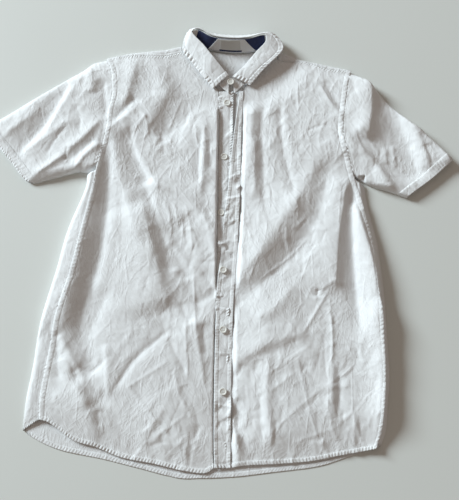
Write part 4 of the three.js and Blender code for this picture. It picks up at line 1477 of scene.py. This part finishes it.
@dataclass
class Back(Assembly):
    """The back, flat on the table, with its sides wrapped up and over to the side seams."""

    rows: int = 176
    over: int = 18
    under: int = 5
    middle: int = 110
    soft_round: float = 11.0  # how far in the wearer's right side rounds over
    hem: float = HEM_STITCH

    def build(self) -> list[bpy.types.Object]:
        """Makes the back with its stitches.

        Returns:
            the back, in a list.
        """
        grid = [self._row(row) for row in shares(self.rows)]
        points = np.array(grid)
        points[..., 2] = np.maximum(points[..., 2], TABLE_GAP)
        seams = Seams(south=Edge.HEM, west=Edge.FELLED, east=Edge.SEAM)
        mask = smooth((points[..., 2] - 2) / 2)
        points[..., 2] += pucker(points, seams, 13, mask)
        piece = grid_piece("back_cloth", points, seams, flip=True)
        self.dress(piece, self.finishes.shirting, "shirting", "back")
        inner = points[:, self.over + self.under + 2 : -(self.over + self.under + 2)]
        path, up = inset_row(inner, "south", self.hem)
        rows = Stitches("back_stitches")
        rows.row(path + [0, 0, CLOTH], np.abs(up), lift=HIGH_THREAD)
        thread = self.sew(rows)
        hem = turned_edge("back_hem", inner + [0, 0, CLOTH + 0.1], "south", Edge.HEM, 59, -1, share=0.45)
        self.trim(hem)
        return [piece]

    def _side(self, row: float, side: Side) -> Array:
        """Points of one row at a side, from the seam out over the fold and in under it.

        Args:
            row: the share of the way up from the hem.
            side: the side's lines.

        Returns:
            the points.
        """
        start = side.fold.points[0, 1]
        y_fold = float(start + (YOKE_SEAM_Y - start) * row)
        if row > side.last:
            count = self.over + self.under + 1
            x = float(side.armhole.x_at(y_fold)) + side.inward * (1.3 + np.arange(count))
            return np.stack([x, np.full(count, y_fold), np.full(count, FLAT_LOW)], axis=-1)
        x_fold = float(side.fold.x_at(y_fold))
        y_seam = float(side.seam.points[0, 1] + (side.seam_top - side.seam.points[0, 1]) * row / side.last)
        x_seam = float(side.seam.x_at(y_seam))
        share = np.sin(shares(self.over) * math.pi / 2)
        y = y_seam + (y_fold - y_seam) * share
        x = x_seam + (x_fold - x_seam) * share
        top = RELIEF.top(x, y)
        reach = FOLD_ROUND if side.inward < 0 else self.soft_round
        z = FOLD_MIDDLE + (top - FOLD_MIDDLE) * rounding(np.abs(x - x_fold), reach)
        x[0] += side.inward * 1.5  # tucked under the front's edge
        z[0] -= 0.5
        turn = shares(self.under)[1:]
        x_under = x_fold + side.inward * turn * FOLD_UNDER
        z_under = FOLD_MIDDLE * (1 - rounding(turn * FOLD_UNDER, FOLD_UNDER))
        return np.concatenate([np.stack([x, y, z], axis=-1),
                               np.stack([x_under, np.full(self.under, y_fold), z_under], axis=-1)])

    def _row(self, row: float) -> Array:
        """All the points of one row, from the right side seam round to the left one.

        Args:
            row: the share of the way up from the hem.

        Returns:
            the points.
        """
        right, left = self._side(row, RIGHT_SIDE), self._side(row, LEFT_SIDE)
        share = shares(self.middle)[1:-1]
        x = right[-1, 0] + (left[-1, 0] - right[-1, 0]) * share
        hem = Line(BACK_HEM).y_at(x)
        y = hem + (YOKE_SEAM_Y - hem) * row
        z = 0.28 + 0.26 * np.tanh(BODY_CRUMPLE.rise(x, y))
        return np.concatenate([right, np.stack([x, y, z], axis=-1), left[::-1]])


@dataclass
class Yoke(Assembly):
    """The yoke, over the shoulders and flat behind the neck."""

    columns: int = 150
    over: int = 14
    under: int = 5
    flat: int = 26

    def build(self) -> list[bpy.types.Object]:
        """Makes the yoke.

        Returns:
            the yoke, in a list.
        """
        right, left = RIGHT_ARMHOLE[-1], LEFT_ARMHOLE[-1]
        grid = []
        for share in shares(self.columns):
            section = self._section(right[0] + (left[0] - right[0]) * share)
            start = Line(RIGHT_ARMHOLE).x_at(np.minimum(section[:, 1], right[1]))
            end = Line(LEFT_ARMHOLE).x_at(np.minimum(section[:, 1], left[1]))
            section[:, 0] = start + (end - start) * share
            grid.append(section)
        points = np.array([grid[0], *grid, grid[-1]])
        points[[0, -1], :, 2] = 0.2
        points[..., 2] = np.maximum(points[..., 2], TABLE_GAP)
        seams = Seams(west=Edge.FELLED)
        mask = smooth((points[..., 2] - 2.5) / 2)
        points[..., 2] += pucker(points, seams, 17, mask)
        piece = grid_piece("yoke_cloth", points, seams, flip=True)
        self.dress(piece, self.finishes.shirting, "shirting", "yoke")
        return [piece]

    def _section(self, x: float) -> Array:
        """Points of one section at x, from the shoulder seam over the fold to the yoke seam.

        Args:
            x: where the yoke is cut.

        Returns:
            the points.
        """
        neck = NECK_BACK[0][0] + 7 < x < NECK_BACK[-1][0] - 7
        fold_y = float(Line(NECK_BACK if neck else SHOULDER_FOLD).y_at(x))
        count = self.over + 1
        if neck:
            y = np.linspace(fold_y, YOKE_SEAM_Y, count + self.under + self.flat)
            z = np.full(y.shape, FLAT_LOW)
            return np.stack([np.full(y.shape, x), y, z], axis=-1)
        seam_y = float(Line(RIGHT_SHOULDER_SEAM if x < 0 else LEFT_SHOULDER_SEAM).y_at(x))
        share = np.sin(shares(self.over) * math.pi / 2)
        y = seam_y + (fold_y - seam_y) * share
        top = RELIEF.top(np.full(y.shape, x), y)
        near = max(NECK_BACK[0][0] - x, x - NECK_BACK[-1][0], 0)
        top = LOWEST_TOP + (top - LOWEST_TOP) * smooth(near / 12)
        z = FOLD_MIDDLE + (top - FOLD_MIDDLE) * rounding(fold_y - y, min(FOLD_ROUND, fold_y - seam_y))
        y[0] -= 1.5  # tucked under the fronts' edges
        z[0] -= 0.7
        turn = shares(self.under)[1:]
        y_under = fold_y - turn * FOLD_UNDER
        z_under = FOLD_MIDDLE * (1 - rounding(turn * FOLD_UNDER, FOLD_UNDER))
        y_flat = np.linspace(y_under[-1], YOKE_SEAM_Y, self.flat + 1)[1:]
        y = np.concatenate([y, y_under, y_flat])
        z = np.concatenate([z, z_under, np.full(self.flat, FLAT_LOW)])
        return np.stack([np.full(y.shape, x), y, z], axis=-1)


@dataclass(frozen=True)
class SleeveCut:
    """A sleeve's outline: the armhole, the upper fold, the lower fold and the hem."""

    name: str
    root: Rows
    upper: Rows
    lower: Rows
    cuff: Rows
    flip: bool
    seed: int
    flat: tuple[float, float]  # of the cut, in metres
    area: float
    cuff_loft: float  # how much of its height it keeps at the cuff


@dataclass
class Sleeves(Assembly):
    """Set-in short sleeves, flattened tubes with a turned-up hem."""

    along: int = 96
    half: int = 84
    hem: float = 15.0
    hem_rise: float = 0.5

    def build(self) -> list[bpy.types.Object]:
        """Makes both sleeves.

        Returns:
            the sleeves.
        """
        right = SleeveCut(
            "sleeve_right", RIGHT_ARMHOLE[::-1],
            [(-208, 331), (-231, 325), (-249, 311), (-287, 288), (-327, 262), (-362, 238), (-411, 206)],
            [(-217, 136), (-235, 129), (-246, 131), (-271, 125), (-300, 117), (-323, 111)],
            [(-411, 206), (-383, 173), (-356, 140), (-337, 117), (-323, 111)],
            flip=True, seed=91, flat=(0.40, 0.22), area=0.062, cuff_loft=0.4)
        left = SleeveCut(
            "sleeve_left", LEFT_ARMHOLE[::-1],
            [(205, 308), (223, 298), (235, 290), (254, 267), (286, 233), (325, 199), (370, 151)],
            [(203, 122), (221, 113), (231, 107), (264, 96), (290, 86)],
            [(370, 151), (333, 118), (306, 98), (290, 86)],
            flip=False, seed=97, flat=(0.36, 0.20), area=0.048, cuff_loft=0.9)
        return [self._sleeve(cut) for cut in (right, left)]

    def _sleeve(self, cut: SleeveCut) -> bpy.types.Object:
        """One sleeve with its stitches.

        Args:
            cut: its outline and sizes.

        Returns:
            the sleeve.
        """
        patch = Patch(Line(cut.root), Line(cut.cuff), Line(cut.upper), Line(cut.lower))
        turn = (1 - np.cos(math.pi * shares(self.half))) / 2
        across = 0.5 * turn + 0.5 * shares(self.half)
        flat = patch.fill(across, shares(self.along))
        x, y = flat[..., 0], flat[..., 1]
        width = np.linalg.norm(flat[:, -1] - flat[:, 0], axis=-1)[:, None]
        edge = np.minimum(across, 1 - across)[None] * width
        up = np.linalg.norm(np.diff(flat, axis=0), axis=-1).cumsum(axis=0)
        up = np.concatenate([np.zeros((1, flat.shape[1])), up])
        from_cuff = up[-1:] - up
        rise = self.hem_rise * (1 - smooth((from_cuff - self.hem + 0.5) / 1.0))
        own = Crumple(seed=cut.seed, lean=52 if cut.flip else 122).rise(x, y)
        share = smooth(up / 30)
        small = BODY_CRUMPLE.rise(x, y) * (1 - share) + own * share
        top = RELIEF.top(x, y, small)
        loft = cut.cuff_loft + (1 - cut.cuff_loft) * smooth(from_cuff / 35)
        top = LOWEST_TOP + (top - LOWEST_TOP) * loft + rise
        reach = FOLD_ROUND + (4 if cut.flip else -2) * smooth(up / 20)
        z = FOLD_MIDDLE + (top - FOLD_MIDDLE) * rounding(edge, reach)
        seams = Seams(south=Edge.SEAM, north=Edge.CUFF, stripped=(Edge.CUFF,))
        upper = with_height(flat, z)
        upper[..., 2] += pucker(upper, seams, cut.seed) * smooth(edge / 6)
        root = upper[0] - upper[1]
        upper[0, :, :2] += 1.5 * root[:, :2] / np.linalg.norm(root[:, :2], axis=1)[:, None]
        upper[0, :, 2] = np.maximum(1.0, upper[0, :, 2] - 0.5)
        z_low = FOLD_MIDDLE * (1 - rounding(edge, FOLD_UNDER))
        lower = with_height(flat, np.maximum(z_low, TABLE_GAP))[:, ::-1]
        points = np.concatenate([upper, lower[:, 1:]], axis=1)
        piece = grid_piece(f"{cut.name}_cloth", points, seams, flip=cut.flip, ring=True)
        self.dress(piece, self.finishes.shirting, "shirting", cut.name)
        rows = Stitches(f"{cut.name}_stitches")
        rows.row(*inset_row(upper, "north", self.hem), lift=HIGH_THREAD)
        rows.row(*inset_row(upper, "south", NEAR_STITCH))
        thread = self.sew(rows)
        cuff = turned_edge(f"{cut.name}_hem", upper[:, 4:-4], "north", Edge.CUFF, cut.seed)
        self.trim(cuff)
        return piece


@dataclass(frozen=True)
class CollarPatch:
    """A piece inside the stand: its ends as shares round the neck, low and high, and its heights."""

    name: str
    bottom: tuple[float, float]
    top: tuple[float, float]
    heights: tuple[float, float]
    near: float  # of its face from the stand's outside, in millimetres
    material: bpy.types.Material
    slot: str


@dataclass
class Collar(Assembly):
    """The stand with its contrast lining, and the turned-down leaves."""

    steps: int = 260
    leaf_rows: int = 26
    leaf_thick: float = 1.5
    stand_thick: float = 1.2
    bow: float = 1.4
    gather: float = 1.0  # share of the usual height of its puckers
    small: float = 0.9  # height that its small creases keep within
    stitch_in: float = FAR_STITCH
    patch_rows: int = 20
    patch_columns: int = 59
    least_sheet: float = 0.0102  # length in metres under which a patch is no sheet

    # from the right front end round the back to the left front end: x, y, z
    neck = [(-1, 269, 6.5), (-30, 295, 6.5), (-54, 324, 6.5), (-71, 351, 6), (-63, 355, 2.8), (-35, 351, 2.2),
            (1, 346, 2.2), (35, 347, 2.2), (63, 353, 2.8), (76, 350, 6), (60, 324, 6.5), (37, 297, 6.5),
            (8, 269, 6.5)]
    roll = [(-1, 298, 15), (-23, 323, 23), (-43, 348, 25), (-64, 375, 26), (-52, 379, 27), (-30, 367, 26),
            (1, 362, 26), (31, 363, 26), (60, 369, 26), (62, 358, 25), (44, 338, 19), (25, 316, 15),
            (5, 297, 12)]
    edge = [(-28, 277, 8), (-47, 301, 8), (-64, 324, 8), (-80, 349, 8), (-66, 388, 7), (-30, 382, 2.5),
            (1, 379, 2.5), (32, 379, 2.5), (72, 377, 13), (88, 358, 20), (91, 343, 22), (60, 310, 18),
            (35, 282, 10)]

    def build(self) -> list[bpy.types.Object]:
        """Makes the collar.

        Returns:
            the collar's pieces.
        """
        seams = Seams(north=Edge.COLLAR, west=Edge.COLLAR, east=Edge.COLLAR, stripped=(Edge.COLLAR,))
        points = self._leaf()
        small = np.tanh(Crumple(seed=31, lean=60).rise(points[..., 0], points[..., 1]))
        points[..., 2] += self.gather * pucker(points, seams, 29) + self.small * small
        leaf = grid_piece("collar_leaf", points, seams)
        self.dress(leaf, self.finishes.shirting, "shirting", "collar_fall", thick=self.leaf_thick)
        rows = Stitches("collar_stitches")
        for side in ("north", "west", "east"):
            rows.row(*inset_row(points, side, self.stitch_in), lift=HIGH_THREAD)
            strip = turned_edge(f"collar_edge_{side}", points, side, Edge.COLLAR, 61)
            self.trim(strip)
        thread = self.sew(rows)
        stand = grid_piece("collar_stand_cloth", self._stand(shares(self.steps), shares(16) * 0.9), flip=True)
        self.dress(stand, self.finishes.shirting, "shirting", "collar_stand", thick=self.stand_thick)
        made = [leaf, stand]
        made += [self._inside(patch) for patch in self._patches()]
        return made

    def _patches(self) -> list[CollarPatch]:
        """The pieces sewn inside the stand, from the one next to it.

        Returns:
            one entry for each piece.
        """
        white, navy, grey = self.finishes.shirting, self.finishes.lining, self.finishes.label
        rows = [("stand_lining", (0.335, 0.665), (0.335, 0.665), (0.06, 0.9), 1.65, navy, "lining"),
                ("stand_panel", (0.41, 0.61), (0.447, 0.567), (0.08, 0.88), 2.1, white, "shirting"),
                ("blank_label", (0.46, 0.545), (0.46, 0.545), (0.24, 0.84), 2.55, grey, "label"),
                ("neck_tape", (0.458, 0.549), (0.458, 0.549), (0.11, 0.21), 2.55, navy, "lining")]
        return [CollarPatch(*row) for row in rows]

    @staticmethod
    def _station(rows: Rows, t: Array) -> Array:
        """Points of a collar line at even shares of its rows, as the stations are numbered.

        Args:
            rows: the line's points.
            t: shares of the way round the neck.

        Returns:
            a point for each share.
        """
        line = Line(rows)
        return np.stack([np.interp(t * (len(line.points) - 1), np.arange(len(line.points)), line.points[:, k])
                         for k in range(3)], axis=-1)

    def _leaf(self) -> Array:
        """The leaf from its outer edge up to the roll.

        Returns:
            a grid of points.
        """
        t = shares(self.steps)
        high, low = self._station(self.roll, t), self._station(self.edge, t)
        w = shares(self.leaf_rows)[:, None, None]
        points = high[None] * (1 - w) + low[None] * w
        points[..., 2] += self.bow * np.sin(math.pi * np.minimum(1, w[..., 0] * 1.15)) ** 0.8
        return points

    def _stand(self, t: Array, w: Array) -> Array:
        """The stand's outside, at stations t and shares w of the way from the neck to the roll.

        Args:
            t: shares of the way round the neck.
            w: shares of the way up.

        Returns:
            a grid of points.
        """
        low, high = self._station(self.neck, t)[None], self._station(self.roll, t)[None]
        share = w[:, None]
        points = low * (1 - share[..., None]) + high * share[..., None]
        reach = np.linalg.norm(high - low, axis=-1) / np.maximum(1, high[..., 2] - low[..., 2])
        flatness = np.clip((reach - 1) / 2, 0, 1)
        points[..., 2] = low[..., 2] + (high[..., 2] - low[..., 2]) * share ** (1 + flatness)
        return points

    def _inside(self, patch: CollarPatch) -> bpy.types.Object:
        """One piece sewn inside the stand.

        Args:
            patch: its ends, heights and finish.

        Returns:
            the piece.
        """
        w = np.linspace(*patch.heights, self.patch_rows)
        share = ((w - w[0]) / (w[-1] - w[0]))[:, None]
        ends = [low * (1 - share) + high * share for low, high in zip(patch.bottom, patch.top)]
        t = ends[0] + (ends[1] - ends[0]) * shares(self.patch_columns)[None]
        points = np.stack([self._stand(t[k], w[k : k + 1])[0] for k in range(len(w))])
        points = points + normals_of(points) * patch.near
        piece = grid_piece(f"{patch.name}_cloth", points)
        self.dress(piece, patch.material, patch.slot, patch.name, thick=0.4)
        return piece


@dataclass
class Buttons(Assembly):
    """Six buttons down the front and one on the stand, each sewn through four holes."""

    radius: float = 5.7
    thick: float = 2.4
    dish: float = 0.75  # depth of the hollow in its face
    hole_offset: float = 1.25
    hole: float = 0.62
    sides: int = 48

    def build(self) -> list[bpy.types.Object]:
        """Makes all the buttons at their places, with their threads.

        Returns:
            the buttons and their threads.
        """
        disc = self._disc()
        made = []
        for node in ("button_stand", *(f"button_{k + 1}" for k in range(6))):
            low, high = (np.array(corner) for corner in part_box(node))
            centre = Vector(((low[0] + high[0]) / 2, (low[1] + high[1]) / 2, low[2]))
            mesh = disc.copy()
            mesh.transform(Matrix.Translation(centre))
            piece = placed(f"{node}_disc", mesh)
            made.append(self.dress(piece, self.finishes.button, "button", node, thick=None))
            made.append(self._thread(node, centre))
        return made

    def _disc(self) -> bpy.types.Mesh:
        """One button about the origin: a flat rim round a shallow dish, with four holes.

        Returns:
            the button's mesh.
        """
        bm = bmesh.new()
        top, floor = self.thick, self.thick - self.dish
        profile = [(0, 0), (self.radius - 1.2, 0), (self.radius - 0.2, 0.7), (self.radius, 1.2),
                   (self.radius, top - 0.35), (self.radius - 0.3, top), (self.radius - 1.35, top),
                   (self.radius - 2.0, floor), (0, floor)]
        verts = [bm.verts.new((r * MM, 0, z * MM)) for r, z in profile]
        edges = [bm.edges.new(pair) for pair in zip(verts, verts[1:])]
        bmesh.ops.spin(bm, geom=[*verts, *edges], axis=(0, 0, 1), cent=(0, 0, 0), angle=2 * math.pi,
                       steps=self.sides, use_merge=True)
        bmesh.ops.remove_doubles(bm, verts=bm.verts[:], dist=1e-6)
        bmesh.ops.recalc_face_normals(bm, faces=bm.faces[:])
        body = self._object("button_blank", bm)
        bm = bmesh.new()
        for sx, sy in ((1, 1), (-1, 1), (-1, -1), (1, -1)):
            at = Vector((sx * self.hole_offset, sy * self.hole_offset, self.thick / 2)) * MM
            bmesh.ops.create_cone(bm, cap_ends=True, segments=16, radius1=self.hole * MM,
                                  radius2=self.hole * MM, depth=8 * MM, matrix=Matrix.Translation(at))
        drill = self._object("drill", bm)
        cut = body.modifiers.new("holes", "BOOLEAN")
        cut.operation, cut.object, cut.solver = "DIFFERENCE", drill, "EXACT"
        mesh = bpy.data.meshes.new_from_object(body.evaluated_get(bpy.context.evaluated_depsgraph_get()))
        for spare in (body, drill):
            bpy.data.objects.remove(spare)
        mesh.shade_smooth()
        mesh.set_sharp_from_angle(angle=math.radians(35))
        return mesh

    @staticmethod
    def _object(name: str, bm: bmesh.types.BMesh) -> bpy.types.Object:
        """A linked object of a finished bmesh.

        Args:
            name: the object's name.
            bm: its shape, which is freed.

        Returns:
            the object.
        """
        mesh = bpy.data.meshes.new(name)
        bm.to_mesh(mesh)
        bm.free()
        return placed(name, mesh)

    def _thread(self, node: str, centre: Vector) -> bpy.types.Object:
        """Two straight passes of thread between the holes, three strands in each.

        Args:
            node: the button's node.
            centre: the middle of its underside.

        Returns:
            the thread as one piece.
        """
        bm = bmesh.new()
        level = (self.thick - self.dish + 0.12) * MM
        for side in (-1, 1):
            for strand in (0, 1, 2):
                at = centre + Vector((side * self.hole_offset * MM + (strand - 1) * 0.22 * MM, 0, level))
                size = Matrix.Diagonal((0.16 * MM, (self.hole_offset + 0.35) * MM, 0.16 * MM, 1))
                bmesh.ops.create_uvsphere(bm, u_segments=8, v_segments=6, radius=1,
                                          matrix=Matrix.Translation(at) @ size)
        piece = self._object(f"{node}_thread", bm)
        piece.data.shade_smooth()
        piece.data.materials.append(self.finishes.thread)
        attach(piece, "root")
        LOG.info("%s: %d points", piece.name, len(piece.data.vertices))
        return piece


# ---- stage ----
@dataclass
class Studio:
    """The pale table, the light and the camera above the shirt."""

    lens: float = 51.12
    distance: float = 1.15
    elevation: float = 78.0
    target: tuple[float, float, float] = (0.0205, -0.01756, 0.0)
    key_from: tuple[float, float] = (147.0, 24.5)  # azimuth from +x and elevation of the main light

    def build(self) -> None:
        """Makes the table, the lights and the camera."""
        self._table()
        self._lights()
        self._camera()

    def _table(self) -> None:
        """A pale matt table top."""
        mesh = bpy.data.meshes.new("table_top")
        bm = bmesh.new()
        bmesh.ops.create_grid(bm, x_segments=1, y_segments=1, size=3)
        bm.to_mesh(mesh)
        bm.free()
        table = placed("table_top", mesh)
        top = HardFinish("pale table", (0.685, 0.70, 0.67), (0.70, 0.715, 0.685), 0.6, grain=6, bump=0.0)
        mesh.materials.append(top.material())

    def _lights(self) -> None:
        """A large soft light low on the right-hand side of the wearer, and an even sky."""
        scene = bpy.context.scene
        scene.world = bpy.data.worlds.new("room")
        scene.world.use_nodes = True
        sky = scene.world.node_tree.nodes["Background"]
        sky.inputs["Color"].default_value = (1.0, 0.85, 0.74, 1)
        sky.inputs["Strength"].default_value = 0.27
        light = bpy.data.lights.new("window", "AREA")
        light.shape = "DISK"
        light.size = 2.8
        light.energy = 960
        light.color = (0.80, 0.92, 0.98)
        lamp = placed("window", light)
        azimuth, elevation = (math.radians(a) for a in self.key_from)
        way = Vector((math.cos(azimuth) * math.cos(elevation), math.sin(azimuth) * math.cos(elevation),
                      math.sin(elevation)))
        lamp.location = Vector(self.target) + way * 8
        lamp.rotation_euler = way.to_track_quat("Z", "Y").to_euler()
        scene.view_settings.view_transform = "Standard"

    def _camera(self) -> None:
        """The camera above the shirt, a little towards its hem."""
        camera = bpy.data.cameras.new("camera")
        camera.lens = self.lens
        camera.sensor_width = 36
        camera.dof.use_dof = False
        eye = placed("camera", camera)
        tilt = math.radians(self.elevation)
        away = Vector((0, -math.cos(tilt), math.sin(tilt)))
        eye.location = Vector(self.target) + away * self.distance
        eye.rotation_euler = away.to_track_quat("Z", "Y").to_euler()
        bpy.context.scene.camera = eye


def main() -> None:
    """Builds the studio and then each sub-assembly of the shirt in order."""
    logging.basicConfig(level=logging.INFO, format="%(name)s: %(message)s")
    Studio().build()
    finishes = Finishes.make()
    for kind in (Back, Fronts, Bands, Yoke, Sleeves, Collar, Buttons):
        made = kind(finishes).build()
        LOG.info("%s: %d pieces", kind.__name__, len(made))
    bpy.context.view_layer.update()


if __name__ == "__main__":
    main()
